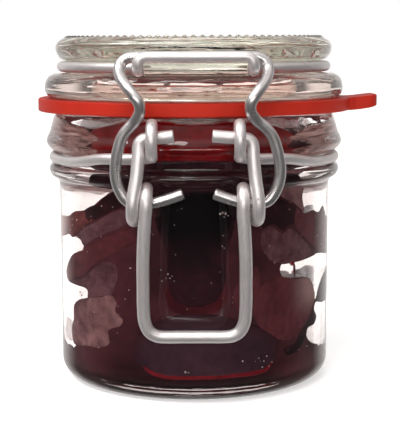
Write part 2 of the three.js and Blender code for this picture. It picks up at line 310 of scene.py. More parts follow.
def beet(name, deep, light, pale, specular, roughness, rings=0.12, scale=140.0):
    """Beetroot flesh: mottled, with faint growth rings, mixed towards the colour pale where the attribute fade says. On
    slices towards the sides of the jar and beside the right-hand pocket this is painted light shining through thin
    flesh; on the near-black middle sheet it is painted dark, deepest at the top; on the red neck layer it pales the
    sides; on the slate slice it blends the edge into the juice; on the juice it darkens a patch low at the front; on
    the top slices it pales the rim.
    """
    m, nt, p = principled(name)
    cloud = noise_tex(nt, scale, 4.0, 0.62, 0.6)
    fine = noise_tex(nt, scale * 6, 2.0, 0.6)
    c = ramp(nt, cloud.outputs["Fac"], [(0.36, deep), (0.64, light)])
    ring = node(nt, "ShaderNodeAttribute", attribute_name="ring")
    wave = node(nt, "ShaderNodeMath", operation="SINE")
    shake = node(nt, "ShaderNodeMath", operation="MULTIPLY_ADD")
    nt.links.new(cloud.outputs["Fac"], shake.inputs[0])
    shake.inputs[1].default_value = 5.0
    nt.links.new(ring.outputs["Fac"], shake.inputs[2])
    nt.links.new(shake.outputs[0], wave.inputs[0])
    soft = node(nt, "ShaderNodeMapRange")
    soft.inputs["From Min"].default_value = -1.0
    soft.inputs["To Min"].default_value = 1.0 - rings
    soft.inputs["To Max"].default_value = 1.0 + rings
    nt.links.new(wave.outputs[0], soft.inputs["Value"])
    c = mixed(nt, c, soft.outputs["Result"], 1.0, "MULTIPLY")
    grit = node(nt, "ShaderNodeMapRange")
    grit.inputs["To Min"].default_value = 0.74
    grit.inputs["To Max"].default_value = 1.26
    nt.links.new(fine.outputs["Fac"], grit.inputs["Value"])
    c = mixed(nt, c, grit.outputs["Result"], 1.0, "MULTIPLY")
    fade = node(nt, "ShaderNodeAttribute", attribute_name="fade")
    c = mixed(nt, c, pale, fade.outputs["Fac"])
    nt.links.new(c, p.inputs["Base Color"])
    p.inputs["Roughness"].default_value = roughness
    p.inputs["Specular IOR Level"].default_value = specular
    if specular > 0.3:
        nt.links.new(bump(nt, fine.outputs["Fac"], 0.2, 0.0004), p.inputs["Normal"])
    return m


# the jar glass is tinted pink: painted light, the pink of light scattered through the brine
GLASS_JAR = glass("glass_jar", (0.925, 0.875, 0.86), 0.035, 0.02)
# the lid's lower part is tinted rose: painted light from the red ring and beetroot below it
GLASS_LID = glass("glass_lid", (0.69, 0.705, 0.585), 0.055, 0.025, (0.93, 0.79, 0.73))
STEEL = steel("wire_steel", (0.73, 0.69, 0.69), 0.40)
STEEL_LINK = steel("wire_steel_link", (0.68, 0.655, 0.655), 0.27, 0.92)
STEEL_CUT = steel("wire_cut_end", (0.70, 0.665, 0.66), 0.40)
RUBBER = rubber("ring_rubber")

# flesh pressed on the glass has no surface shine of its own; flesh in air is wet
FLESH = {
    # the third colour of each is mixed in by the fade attribute; on slices towards the sides of the jar it is painted
    # light shining through thin flesh
    "juice": beet("beet_juice", srgb("#3a1c22"), srgb("#4e272d"), srgb("#220c11"), 0.04, 0.4, 0.05, 60.0),
    "maroon": beet("beet_maroon", srgb("#4e2429"), srgb("#613136"), srgb("#b99a97"), 0.04, 0.4, 0.06),
    "brown": beet("beet_brown", srgb("#4a1a1e"), srgb("#733a36"), srgb("#c4a5a2"), 0.04, 0.4, 0.06),
    "black": beet("beet_black", srgb("#1d0b10"), srgb("#32171d"), srgb("#6a4a50"), 0.04, 0.4, 0.05, 120.0),
    # near-black flesh: painted shade behind the neck, and a painted dark reflection in the middle that is darkest at
    # its top
    "painted_dark": beet("beet_painted_dark", srgb("#1e0d13"), srgb("#331820"), srgb("#050204"), 0.03, 0.4, 0.05, 120.0),
    "purple": beet("beet_purple", srgb("#4b2d33"), srgb("#6b494e"), srgb("#a98a88"), 0.04, 0.4, 0.05, 190.0),
    "pale": beet("beet_pale", srgb("#5e3d42"), srgb("#96706f"), srgb("#c9abaa"), 0.04, 0.4, 0.03, 110.0),
    "slate": beet("beet_slate", srgb("#33202a"), srgb("#432b34"), srgb("#371b21"), 0.04, 0.4, 0.03, 90.0),
    # dark red flesh carrying a painted glow
    "glow": beet("beet_glow", srgb("#3c1118"), srgb("#551b21"), srgb("#7a3036"), 0.04, 0.4, 0.05, 90.0),
    # red flesh with the red light of the rubber ring painted on, for the layer behind the neck
    "painted_ring_red": beet("beet_painted_ring_red", srgb("#66080c"), srgb("#861418"), srgb("#8a4442"), 0.04, 0.4, 0.06, 90.0),
    # red flesh: a real red drop in the right-hand pocket, and painted light along the bottom
    "red": beet("beet_red", srgb("#5c0f16"), srgb("#7d1a22"), srgb("#b04a4a"), 0.04, 0.4, 0.05),
}
WET = beet("beet_wet", srgb("#541a22"), srgb("#8c3d45"), srgb("#a06a6c"), 0.35, 0.30, 0.2)


# ------------------------------------------------------------------ glass
jar_outer = [(0, 0.35), (20, 0.3), (27.5, 0.12), (29.5, 0.0)] + corner(FOOT_R, BODY_R - FOOT_R, BODY_R - FOOT_R, -90, 0, 14) + [
    (BODY_R, 52.2), (37.1, 53.7), (37.6, 54.8), (38.9, 55.4), (39.6, 56.4), (39.7, 57.6), (39.25, 58.45),
    (37.3, 58.8), (36.6, 59.4), (36.55, 61.4), (37.3, 62.0), (38.7, 62.25), (39.85, 63.3),
    (40.5, 64.6), (40.15, 65.9), (39.45, 67.2), (39.0, 68.9), (38.3, 71.2), (37.75, 72.2), (37.3, RIM_Z)]
jar_inner = [(34.2, RIM_Z), (WALL_IN, 71.8), (WALL_IN, FLOOR + INNER_CORNER)] + corner(
    WALL_IN - INNER_CORNER, FLOOR + INNER_CORNER, INNER_CORNER, 0, -90, 10)[1:] + [(0, FLOOR)]


def jar_shape(r, z, a):
    """Pressed glass is never quite true; two faint mould seams run up the sides."""
    x, y = r * math.sin(a), -r * math.cos(a)
    outer = r > 34.9 and z < RIM_Z - 0.3
    amp = 0.05 if outer else 0.0
    if r < 20:
        amp = 0.0
    dr = amp * wobble(x, y, z * 0.6, 11.0) + amp * 0.35 * wobble(x + 50, y, z, 3.6)
    if outer and 5 < z < 71:
        seam = abs(math.cos(a)) * r
        dr += 0.06 * math.exp(-(seam / 0.35) ** 2)
    return r + dr, z


profile = divided(filleted(jar_outer, 0.55, 4) + filleted(jar_inner, 0.5, 4), 1.2)
v, f = lathe(profile, 288, jar_shape)
jar = mesh_object("jar_glass_clear", v, f, [GLASS_JAR])
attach(jar, "jar")
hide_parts("jar_glass")

lid_profile = [
    (0, 84.3), (12, 84.25), (23.5, 84.0), (26.6, 82.8), (27.8, 80.2), (28.4, 74.9),
    (29.2, 73.9), (31.0, 73.9), (31.8, 74.7), (32.2, LID_Z),
    (39.3, LID_Z), (40.3, 77.3), (40.7, 78.6), (40.4, 80.8), (39.6, 82.1),
    (38.1, 82.9), (34.7, 83.05), (34.1, 83.6), (34.1, 85.8), (34.7, 86.35),
    (36.2, 86.7), (36.9, 87.6), (37.4, 88.7), (37.6, 89.9), (37.15, 91.1),
    (36.0, 92.0), (34.9, LID_TOP), (33.9, LID_TOP), (32.9, 92.0), (31.4, 91.2), (30.4, 90.0),
    (28.6, 89.4), (14, 89.25), (0, 89.2)]
KNURLS = 96


def lid_shape(r, z, a):
    x, y = r * math.sin(a), -r * math.cos(a)
    dr = 0.06 * wobble(x, y + 30, z * 0.8, 9.0) if r > 33 and 77 < z < 92 else 0.0
    top = math.exp(-((r - 34.3) / 0.75) ** 2) if z > 91.2 else 0.0
    knurl = 0.5 + 0.5 * math.cos(KNURLS * a)
    return r + dr, z + 0.50 * top * knurl ** 1.5


lp = divided(filleted(lid_profile, 0.6, 4), 1.1)
v, f = lathe(lp, KNURLS * 6, lid_shape)
lid = mesh_object("lid_glass_clear", v, f, [GLASS_LID])
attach(lid, "jar")
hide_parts("lid_glass")

# ------------------------------------------------------------------ rubber ring
def ring_mesh():
    rc = 3.0

    def outer(a):
        """How far the ring reaches at angle a from +X."""
        a = abs(a)
        if a > math.pi / 2:
            return RING_OUT
        x_side = TAB_HALF / max(1e-6, math.tan(a)) if a > 1e-4 else 1e9
        # the tab's end, its rounded corner and its side
        if TAB_TIP * math.tan(a) <= TAB_HALF - rc:
            r = TAB_TIP / math.cos(a)
        else:
            cx, cy = TAB_TIP - rc, TAB_HALF - rc
            bq = cx * math.cos(a) + cy * math.sin(a)
            disc = bq * bq - (cx * cx + cy * cy - rc * rc)
            r = bq + math.sqrt(disc) if disc > 0 else 0.0
            if disc <= 0 or r * math.cos(a) < cx:
                r = TAB_HALF / math.sin(a)
        # a small fillet where the side leaves the ring
        base = RING_OUT
        edge = math.asin(min(1, TAB_HALF / RING_OUT))
        if a > edge:
            base = RING_OUT + 1.5 * max(0.0, 1 - (a - edge) / 0.05) ** 2
        return max(r if a <= edge else 0.0, base)

    angles = set()
    edge = math.asin(TAB_HALF / RING_OUT)
    for i in range(240):
        angles.add(round(2 * math.pi * i / 240 - math.pi, 6))
    for k in range(60):
        angles.add(round(edge - 0.035 + 0.10 * k / 59, 6))
        angles.add(round(-(edge - 0.035 + 0.10 * k / 59), 6))
    angles = sorted(angles)
    rows, verts = [], []
    for a in angles:
        ro = outer(a)
        grow = ro - RING_OUT
        e = 0.45
        radii = [RING_IN, RING_IN + e, 36.0, 39.0, 41.2]
        radii += [41.2 + (ro - e - 41.2) * t for t in (0.25, 0.5, 0.75, 1.0)]
        section = []
        for r in radii:
            section.append((r, 0))
        for k in range(1, 5):
            t = rad(90 * k / 4)
            section.append((ro - e + e * math.sin(t), e - e * math.cos(t)))
        top = [(r, h) for r, h in reversed(section)]
        row = []
        for side, pts in ((0, section), (1, top)):
            for r, h in pts:
                x = r * math.cos(a)
                lift = 1.05 * (max(0.0, x - 42.0) / 7.6) ** 1.6 if grow > 0.3 else 0.0
                wob = 0.06 * wobble(r * math.cos(a), r * math.sin(a), 5.0, 14.0)
                if side == 0:
                    z = RING_Z0 + h + lift + wob
                else:
                    z = RING_Z1 - h + 0.8 * lift + wob
                row.append(len(verts))
                verts.append((r * math.cos(a), r * math.sin(a), z))
        rows.append(row)
    faces = []
    n = len(rows[0])
    for i in range(len(rows)):
        a, b = rows[i], rows[(i + 1) % len(rows)]
        for k in range(n):
            m = (k + 1) % n
            faces.append((a[k], a[m], b[m], b[k]))
    return verts, faces


v, f = ring_mesh()
ring = mesh_object("ring_rubber_red", v, f, [RUBBER])
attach(ring, "jar")
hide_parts("rubber_ring")


# ------------------------------------------------------------------ wires
def at(x, d, z):
    return np.array((x, -d, z), float)


def both(half):
    right, left = half(1), half(-1)
    return left + right[:-1][::-1]


def spline(points, step=0.5):
    """Centripetal curve through the points, in even steps."""
    pts = [np.asarray(p, float) for p in points]
    pts = [2 * pts[0] - pts[1]] + pts + [2 * pts[-1] - pts[-2]]
    fine = []
    for i in range(1, len(pts) - 2):
        p0, p1, p2, p3 = pts[i - 1:i + 3]
        d0, d1, d2 = (max(1e-4, np.linalg.norm(b - a)) ** 0.5 for a, b in ((p0, p1), (p1, p2), (p2, p3)))
        t1 = ((p1 - p0) / d0 - (p2 - p0) / (d0 + d1) + (p2 - p1) / d1) * d1
        t2 = ((p2 - p1) / d1 - (p3 - p1) / (d1 + d2) + (p3 - p2) / d2) * d1
        n = max(4, int(np.linalg.norm(p2 - p1) / 0.1))
        for k in range(n):
            t = k / n
            h = (2 * t ** 3 - 3 * t * t + 1, t ** 3 - 2 * t * t + t, -2 * t ** 3 + 3 * t * t, t ** 3 - t * t)
            fine.append(h[0] * p1 + h[1] * t1 + h[2] * p2 + h[3] * t2)
    fine.append(pts[-2])
    fine = np.array(fine)
    s = np.concatenate([[0], np.cumsum(np.linalg.norm(np.diff(fine, axis=0), axis=1))])
    n = max(2, int(round(s[-1] / step)))
    want = np.linspace(0, s[-1], n + 1)
    return np.stack([np.interp(want, s, fine[:, k]) for k in range(3)], 1)


def tube(name, points, radius, body, replaced, metal, sides=20, step=0.5):
    line = spline(points, step)
    n = len(line)
    tangent = np.gradient(line, axis=0)
    tangent /= np.linalg.norm(tangent, axis=1)[:, None]
    ref = np.array((0, 0, 1.0)) if abs(tangent[0][2]) < 0.9 else np.array((1.0, 0, 0))
    side = np.cross(tangent[0], ref)
    side /= np.linalg.norm(side)
    rings_at, radii, where = [], [], []
    length = 0.0
    frames = []
    for i in range(n):
        if i:
            side = side - tangent[i] * np.dot(side, tangent[i])
            side /= np.linalg.norm(side)
            length += np.linalg.norm(line[i] - line[i - 1])
        frames.append((line[i], tangent[i], side.copy(), length))
    start, end = frames[0], frames[-1]
    seq = []
    cut = 0.22
    for back, scale in ((0.0, 0.0), (0.0, 0.80), (0.03, 0.90), (cut, 1.0)):
        p, t, s, ln = start
        seq.append((p + t * back, t, s, back, scale))
    for p, t, s, ln in frames[1:-1]:
        seq.append((p, t, s, ln, 1.0))
    for back, scale in ((cut, 1.0), (0.03, 0.90), (0.0, 0.80), (0.0, 0.0)):
        p, t, s, ln = end
        seq.append((p - t * back, t, s, ln - back, scale))
    verts, faces, uvs, mats, rows = [], [], [], [], []
    for p, t, s, ln, scale in seq:
        b = np.cross(t, s)
        if scale == 0.0:
            rows.append([len(verts)])
            verts.append(p)
            continue
        # a bent wire is not quite even: its thickness wavers a little, as if marked by the tool that bent it
        grain = 1 + 0.008 * noise.noise(Vector(p) / 2.5)
        row = []
        for k in range(sides):
            a = 2 * math.pi * k / sides
            row.append(len(verts))
            verts.append(p + radius * scale * grain * (s * math.cos(a) + b * math.sin(a)))
        rows.append(row)
    ends = {0, 1, len(rows) - 2, len(rows) - 3}
    for i, (a, b) in enumerate(zip(rows, rows[1:])):
        l0, l1 = seq[i][3] / 10.0, seq[i + 1][3] / 10.0
        m = 1 if i in (0, 1, len(rows) - 3, len(rows) - 2) else 0
        for k in range(sides):
            j = (k + 1) % sides
            u0, u1 = k / sides, (k + 1) / sides
            if len(a) == 1:
                faces.append((a[0], b[k], b[j]))
                uvs.append(((u0, l0), (u0, l1), (u1, l1)))
            elif len(b) == 1:
                faces.append((a[j], a[k], b[0]))
                uvs.append(((u1, l0), (u0, l0), (u0, l1)))
            else:
                faces.append((a[j], a[k], b[k], b[j]))
                uvs.append(((u1, l0), (u0, l0), (u0, l1), (u1, l1)))
            mats.append(m)
    ob = mesh_object(name, verts, faces, [metal, STEEL_CUT], True, mats)
    layer = ob.data.uv_layers.new(name="wire")
    flat = [c for face in uvs for uv in face for c in uv]
    layer.data.foreach_set("uv", np.array(flat, np.float32))
    sharp_ends(ob)
    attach(ob, body)
    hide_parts(replaced)
    return ob


def sharp_ends(ob):
    """The cut faces are flat."""
    me = ob.data
    for p in me.polygons:
        if p.material_index == 1 and len(p.vertices) == 3:
            p.use_smooth = False


def lerp(a, b, t):
    return a + (b - a) * min(1.0, max(0.0, t))


def table(rows, z):
    for (z0, v0), (z1, v1) in zip(rows, rows[1:]):
        if z >= z1:
            return lerp(v1, v0, (z - z1) / (z0 - z1))
    return rows[-1][1]


def polar(s, r, a, z):
    return at(s * r * math.sin(rad(a)), r * math.cos(rad(a)), z)


def neck_half(s):
    xe = 0.45 + s * EYE_X
    out = [at(xe, EYE_D + EYE_R * math.sin(rad(a)), EYE_Z - EYE_R * math.cos(rad(a)))
           for a in range(285, -1, -15)]
    out += [at(xe + s * 0.35, 43.2, 63.4), at(xe + s * 1.5, 41.5, 63.0),
            at(s * 15.0, 39.8, 62.7), at(s * 17.8, 38.4, 62.55)]
    for a, r, z in ((31, 41.9, 62.4), (35.5, 41.4, 62.1), (40, 40.8, 61.6), (45, 40.0, 61.1),
                    (50, 39.3, 60.7), (56, 38.6, 60.45), (63, NECK_R, NECK_Z)):
        out.append(polar(s, r, a, z))
    a = 72.0
    while a <= 158:
        out.append(polar(s, NECK_R, a, NECK_Z))
        a += 8.6
    out += [at(s * 11.4, -38.2, 60.7), at(s * 10.2, -41.3, 61.7), at(s * 10, -43.6, 63.6),
            at(s * 10, HINGE_D, 66.4), at(s * 10, HINGE_D, 71), at(s * 10, HINGE_D, 76.4),
            at(s * 9.2, HINGE_D, 79.2), at(s * 7.0, HINGE_D, HINGE_Z), at(s * 4, HINGE_D, HINGE_Z),
            at(0, HINGE_D, HINGE_Z)]
    return out


def lid_half(s):
    hook, out, b = 3.2, [], 188.0
    while b >= 0:
        out.append(at(s * 5, HINGE_D - hook * math.sin(rad(b)), HINGE_Z + hook * math.cos(rad(b))))
        b -= 23.5
    out += [at(s * 5.0, -42.3, 83.85), at(s * 5.1, -40.2, 84.25), at(s * 5.3, -38.2, 84.65),
            at(s * 6.2, -36.5, LIDW_Z)]
    for a in range(166, 30, -9):
        out.append(polar(s, LIDW_R, a, LIDW_Z))
    c, h = 0.5, 13.9
    out += [at(s * 16.2 + 0.4 * c, 31.9, LIDW_Z), at(c + s * (h + 0.75), 33.3, LIDW_Z),
            at(c + s * (h + 0.1), 35.0, LIDW_Z), at(c + s * h, 37.0, 84.6), at(c + s * h, 38.9, 84.25),
            at(c + s * h, 40.8, 84.08), at(c + s * h, 42.7, 84.2), at(c + s * h, 43.8, 84.95),
            at(c + s * (h - 0.05), TONGUE_D, 86.0), at(c + s * (h - 0.55), TONGUE_D, 86.95),
            at(c + s * (h - 1.6), TONGUE_D, 87.42), at(c + s * (h - 3.4), TONGUE_D, TONGUE_Z),
            at(c + s * 5, TONGUE_D, TONGUE_Z), at(c, TONGUE_D, TONGUE_Z)]
    return out


def lever_half(s):
    c = 0.45
    out = [at(-0.2 + s * 4.63, PIVOT_D, 68.65), at(c + s * 8, PIVOT_D, 68.35),
           at(c + s * 11.3, PIVOT_D, 68.1), at(c + s * 12.5, PIVOT_D, 67.9),
           at(c + s * 13.35, PIVOT_D, 67.2), at(c + s * 13.7, 45.1, 66.1),
           at(c + s * 13.8, 45.45, 64.0), at(c + s * 14.0, 46.0, 61.3),
           at(c + s * 14.3, 46.7, 58.4), at(0.4 + s * 14.75, 47.4, 55.5),
           at(0.38 + s * 15.05, 47.8, 53.5)]
    for a in range(0, 361, 18):
        t = lerp(0, 1, (a - 40) / 230)
        x = 15.15 - 3.45 * t * t * (3 - 2 * t)
        out.append(at(lerp(0.35, 0.15, a / 360) + s * x, COIL_D + COIL_R * math.cos(rad(a)),
                      COIL_Z - COIL_R * math.sin(rad(a))))
    for x, d, z in ((11.75, 47.8, 50.2), (12.0, 47.65, 47), (12.25, 47.3, 43), (12.45, 46.8, 38),
                    (12.5, 46.0, 32), (12.5, 45.1, 26.6), (12.2, 44.65, 23.0), (11.1, 44.35, 20.6),
                    (9.3, 44.2, 19.45), (7.2, 44.1, 19.2), (3.5, 44.1, 19.2), (0, 44.1, 19.2)):
        out.append(at(0.05 + s * x, d, z))
    return out


def link_half(s):
    shift = [(84, 0), (80, 0.1), (77, 0.25), (73, 0.45), (70.5, 0.8), (60, 0.95), (54, 0.9)]
    half = [
        (3.8, LINK_D, 54.6), (8.0, LINK_D, 53.15), (10.6, LINK_D, 52.45), (12.8, LINK_D, LINK_Z),
        (15.2, LINK_D, LINK_Z), (16.7, LINK_D, 52.65), (17.95, LINK_D, 53.8), (19.05, LINK_D, 55.8),
        (19.75, 44.15, 58.2), (19.9, 44.2, 60.6), (19.6, 44.3, 63.3), (19.15, 44.4, 65.3),
        (18.4, 44.5, 67.7), (17.6, 44.6, 69.2), (16.3, 44.8, 70.7), (15.0, 45.1, 71.9),
        (13.9, 45.7, 73.2), (13.2, 46.4, 74.8), (13.2, 46.8, 76.1), (13.7, 46.9, 77.3),
        (14.6, 46.6, 78.5), (15.6, 45.8, 79.8), (16.5, 44.6, 80.9), (17.35, 43.1, 82.1),
        (17.9, 41.5, 83.4), (18.0, 40.4, 84.8), (17.4, BAR_D, 86.25), (15.9, BAR_D, 87.25),
        (13.9, BAR_D, BAR_Z), (7, BAR_D, BAR_Z), (0, BAR_D, BAR_Z)]
    out = []
    for i, (x, d, z) in enumerate(half):
        c = lerp(1.1, 0.95, i / 4) if i < 4 else table(shift, z)
        out.append(at(c + s * x, d, z))
    return out


tube("wire_neck", both(neck_half), R_THIN, "jar", "neck_wire", STEEL)
tube("wire_lid", both(lid_half), R_THIN, "jar", "lid_wire", STEEL)
tube("wire_lever", both(lever_half), R_LEVER, "lever", "lever_wire", STEEL)
tube("wire_link", both(link_half), R_THIN, "link", "link_wire", STEEL_LINK)


# ------------------------------------------------------------------ contents
def wall(px, py, r=CONTACT, n=1.5):
    """Where a point of the picture lies on the inside of the glass wall: (angle from the front in radians, height).
    The sight line is bent by the glass as the real one is."""
    fwd = Vector((0, math.cos(PITCH), -math.sin(PITCH)))
    up = Vector((0, math.sin(PITCH), math.cos(PITCH)))
    u, w = (px - AXIS_PX) / FOCAL, -(py + 0.003 * (px - 200) - H / 2) / FOCAL
    d = (fwd + Vector((1, 0, 0)) * u + up * w).normalized()
    a = d.x * d.x + d.y * d.y
    b = CAM.x * d.x + CAM.y * d.y
    c = CAM.x ** 2 + CAM.y ** 2 - BODY_R ** 2
    disc = b * b - a * c
    sign = 1 if u >= 0 else -1
    if disc < a * 1.0:                       # at or past the edge of the glass
        t = -b / a
        p = CAM + d * t
        return sign * rad(95 + 2.0 * min(3, max(0, (abs(p.x) - BODY_R + 0.3)))), p.z
    t = (-b - math.sqrt(disc)) / a
    p = CAM + d * t
    normal = Vector((p.x, p.y, 0)).normalized()
    cos_i = -d.dot(normal)
    k = 1 - (1 / n) ** 2 * (1 - cos_i ** 2)
    d2 = (d / n + normal * (cos_i / n - math.sqrt(k))).normalized()
    a = d2.x ** 2 + d2.y ** 2
    b = p.x * d2.x + p.y * d2.y
    c = p.x ** 2 + p.y ** 2 - r * r
    t = (-b - math.sqrt(max(0, b * b - a * c))) / a
    q = p + d2 * t
    return math.atan2(q.x, -q.y), q.z


def smooth_closed(points, step):
    pts = np.array(points, float)
    n = len(pts)
    fine = []
    for i in range(n):
        p0, p1, p2, p3 = pts[i - 1], pts[i], pts[(i + 1) % n], pts[(i + 2) % n]
        d0, d1, d2 = (max(1e-3, np.linalg.norm(b - a)) ** 0.5 for a, b in ((p0, p1), (p1, p2), (p2, p3)))
        t1 = ((p1 - p0) / d0 - (p2 - p0) / (d0 + d1) + (p2 - p1) / d1) * d1
        t2 = ((p2 - p1) / d1 - (p3 - p1) / (d1 + d2) + (p3 - p2) / d2) * d1
        for k in range(12):
            t = k / 12
            fine.append((2 * t ** 3 - 3 * t * t + 1) * p1 + (t ** 3 - 2 * t * t + t) * t1
                        + (-2 * t ** 3 + 3 * t * t) * p2 + (t ** 3 - t * t) * t2)
    fine.append(fine[0])
    fine = np.array(fine)
    s = np.concatenate([[0], np.cumsum(np.linalg.norm(np.diff(fine, axis=0), axis=1))])
    count = max(8, int(round(s[-1] / step)))
    want = np.linspace(0, s[-1], count + 1)[:-1]
    return np.stack([np.interp(want, s, fine[:, k]) for k in range(2)], 1)


def inside(poly, pts):
    x, y = pts[:, 0], pts[:, 1]
    res = np.zeros(len(pts), bool)
    a, b = poly, np.roll(poly, -1, axis=0)
    for (x0, y0), (x1, y1) in zip(a, b):
        hit = ((y0 > y) != (y1 > y))
        if abs(y1 - y0) > 1e-12:
            res ^= hit & (x < (x1 - x0) * (y - y0) / (y1 - y0) + x0)
    return res


def edge_distance(poly, pts):
    best = np.full(len(pts), 1e9)
    a, b = poly, np.roll(poly, -1, axis=0)
    for p, q in zip(a, b):
        d = q - p
        t = np.clip(((pts - p) @ d) / max(1e-12, d @ d), 0, 1)
        best = np.minimum(best, np.linalg.norm(pts - (p + t[:, None] * d), axis=1))
    return best


def sheet_of(outline, grid):
    """Triangles that fill an outline, with points spread inside: (points, triangles, distance from the edge)."""
    lo, hi = outline.min(0), outline.max(0)
    xs = np.arange(lo[0], hi[0] + grid, grid)
    ys = np.arange(lo[1], hi[1] + grid, grid * 0.87)
    inner = np.array([(x + (grid / 2 if j % 2 else 0), y) for j, y in enumerate(ys) for x in xs])
    inner = inner[inside(outline, inner)]
    if len(inner):
        inner = inner[edge_distance(outline, inner) > grid * 0.45]
    # two rings just inside the edge keep its round-over crisp
    tang = np.roll(outline, -1, axis=0) - np.roll(outline, 1, axis=0)
    nrm = np.stack([-tang[:, 1], tang[:, 0]], 1)
    nrm /= np.maximum(1e-9, np.linalg.norm(nrm, axis=1))[:, None]
    area = 0.5 * np.sum(outline[:, 0] * np.roll(outline[:, 1], -1) - np.roll(outline[:, 0], -1) * outline[:, 1])
    nrm *= 1 if area > 0 else -1
    extra = []
    for off in (0.10, 0.24):
        ringp = outline + nrm * off
        keep = inside(outline, ringp) & (edge_distance(outline, ringp) > off * 0.8)
        extra.append(ringp[keep])
    pts = np.concatenate([outline] + extra + ([inner] if len(inner) else []))
    n = len(outline)
    edges = [(i, (i + 1) % n) for i in range(n)]
    got = geometry.delaunay_2d_cdt([Vector(p) for p in pts], edges, [], 1, 1e-4)
    verts = np.array([tuple(p) for p in got[0]])
    tris = [tuple(t) for t in got[2]]
    # the loop of the edge, in the new numbering
    d = edge_distance(outline, verts)
    return verts, tris, d


def pillow(outline, place, thick, rim_out, rim_in, grid=0.7):
    """A rounded slice. place((u, v), depth) puts a point of the sheet into space, depth measured inwards from its outer
    face. Gives verts, faces, whether each face is on the outer side, and (u, v, distance from the edge) per vertex."""
    uv, tris, d = sheet_of(outline, grid)
    return pillow_of(uv, tris, d, place, thick, rim_out, rim_in)


class Heap:
    """Collects slices into one mesh with its materials and attributes."""

    def __init__(self):
        self.verts, self.faces, self.mats, self.fade, self.ring = [], [], [], [], []
        self.materials = []

    def slot(self, material):
        if material not in self.materials:
            self.materials.append(material)
        return self.materials.index(material)

    def add(self, verts, faces, mats, fade, ring_phase):
        base = len(self.verts)
        self.verts += list(verts)
        self.faces += [tuple(i + base for i in f) for f in faces]
        self.mats += list(mats)
        self.fade += list(fade)
        self.ring += list(ring_phase)

    def build(self, name, body="jar"):
        ob = mesh_object(name, self.verts, self.faces, self.materials, True, self.mats)
        for key, data in (("fade", self.fade), ("ring", self.ring)):
            attr = ob.data.attributes.new(key, "FLOAT", "POINT")
            attr.data.foreach_set("value", np.array(data, np.float32))
        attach(ob, body)
        return ob


def on_wall(outer_r):
    def place(p, depth):
        a = p[0] / CONTACT
        r = outer_r - depth
        return (r * math.sin(a), -r * math.cos(a), p[1])
    return place


def wall_slice(heap, outline_px, flesh, outer_r=33.68, thick=2.6, fade=None, step=0.45, centre=None,
               raw=False):
    """A slice pressed against the wall. outline_px is its outline in the picture, or (angle, height) with raw."""
    if raw:
        pts = [(a * CONTACT, z) for a, z in outline_px]
    else:
        pts = []
        for px, py in outline_px:
            a, z = wall(px, py)
            pts.append((a * CONTACT, z))
    outline = smooth_closed(pts, step)
    verts, faces, outer, info = pillow(outline, on_wall(outer_r), thick, 0.5, 1.4)
    contact, wet = heap.slot(FLESH[flesh]), heap.slot(WET)
    mats = []
    for f, is_out in zip(faces, outer):
        r = sum(math.hypot(verts[i][0], verts[i][1]) for i in f) / len(f)
        mats.append(contact if r > 33.2 else wet)
    c = centre or (sum(p[0] for p in pts) / len(pts) + 6.0, sum(p[1] for p in pts) / len(pts) - 5.0)
    rings = [math.hypot(u - c[0], v - c[1]) * 2.3 for u, v, d in info]
    fades = [0.0 if fade is None else min(1.0, max(0.0, fade(u / CONTACT, v, d))) for u, v, d in info]
    heap.add(verts, faces, mats, fades, rings)


def smoothstep(a, b, x):
    t = min(1.0, max(0.0, (x - a) / (b - a)))
    return t * t * (3 - 2 * t)


# Clear pockets between the slices, by the part of their outline that shows in
# front, from top to bottom. Each runs past the side of the jar and out behind.
POCKETS = {
    "left_top": [(62, 171), (84, 171), (108, 173), (116, 180), (112, 189), (103, 196), (95, 203), (92, 206.5),
                 (83, 210), (74, 211.5), (68, 215.5), (62, 219)],
    "left_side": [(62, 238), (65, 236), (69, 235), (73, 238), (77, 237), (80, 240), (83, 245),
                  (82, 249), (77, 251), (72, 254), (69, 259), (67, 265), (66, 272), (68, 281), (72, 284),
                  (78, 287), (86, 290), (86, 298), (78, 300), (74, 305), (73, 320), (71.4, 326), (72.5, 340),
                  (74, 345), (65.6, 340), (63.4, 331), (62, 322)],
    "right_top": [(326, 172), (306, 174), (296, 178), (297, 186), (300, 198), (304.7, 211.9), (313.3, 209),
                  (318.2, 211), (322.8, 204.4), (326, 214)],
    "right_mid": [(326, 253), (323.3, 253.6), (314.4, 255), (302.9, 261), (291.3, 263.8), (282.5, 265),
                  (281, 270), (284, 276.5), (309, 277), (313.8, 286.8), (315.0, 298), (317.5, 288),
                  (323.6, 271.6), (326, 270)],
    "right_low": [(326, 299), (321, 303), (315.5, 303), (314.2, 308), (316.4, 316), (314.2, 324),
                  (307.5, 329), (306.6, 334), (311, 341), (326, 343.5)],
}
SLOPE = -0.135             # how the sight line falls on its way back


def smooth_open(points, step):
    line = spline([(x, y, 0.0) for x, y in points], step)
    return [(x, y) for x, y, z in line]


def pocket_edges(outline):
    """The pocket's edge on the wall: its front part and the part behind, each from top to bottom, as (angle, height)."""
    front = [wall(px, py) for px, py in smooth_open(outline, 2.2)]
    behind = []
    for a, z in front:
        back = math.copysign(math.pi, a) - a
        drop = z + SLOPE * 2 * CONTACT * math.cos(a)
        # behind, the pocket opens wider and its edge is not a mirror of the front one
        wider = 0.09 + 0.06 * math.sin(0.55 * drop + 1.0) + 0.03 * math.sin(1.7 * drop)
        wider *= smoothstep(95, 112, abs(math.degrees(back)))
        behind.append((back + math.copysign(wider, a), drop))
    return front, behind


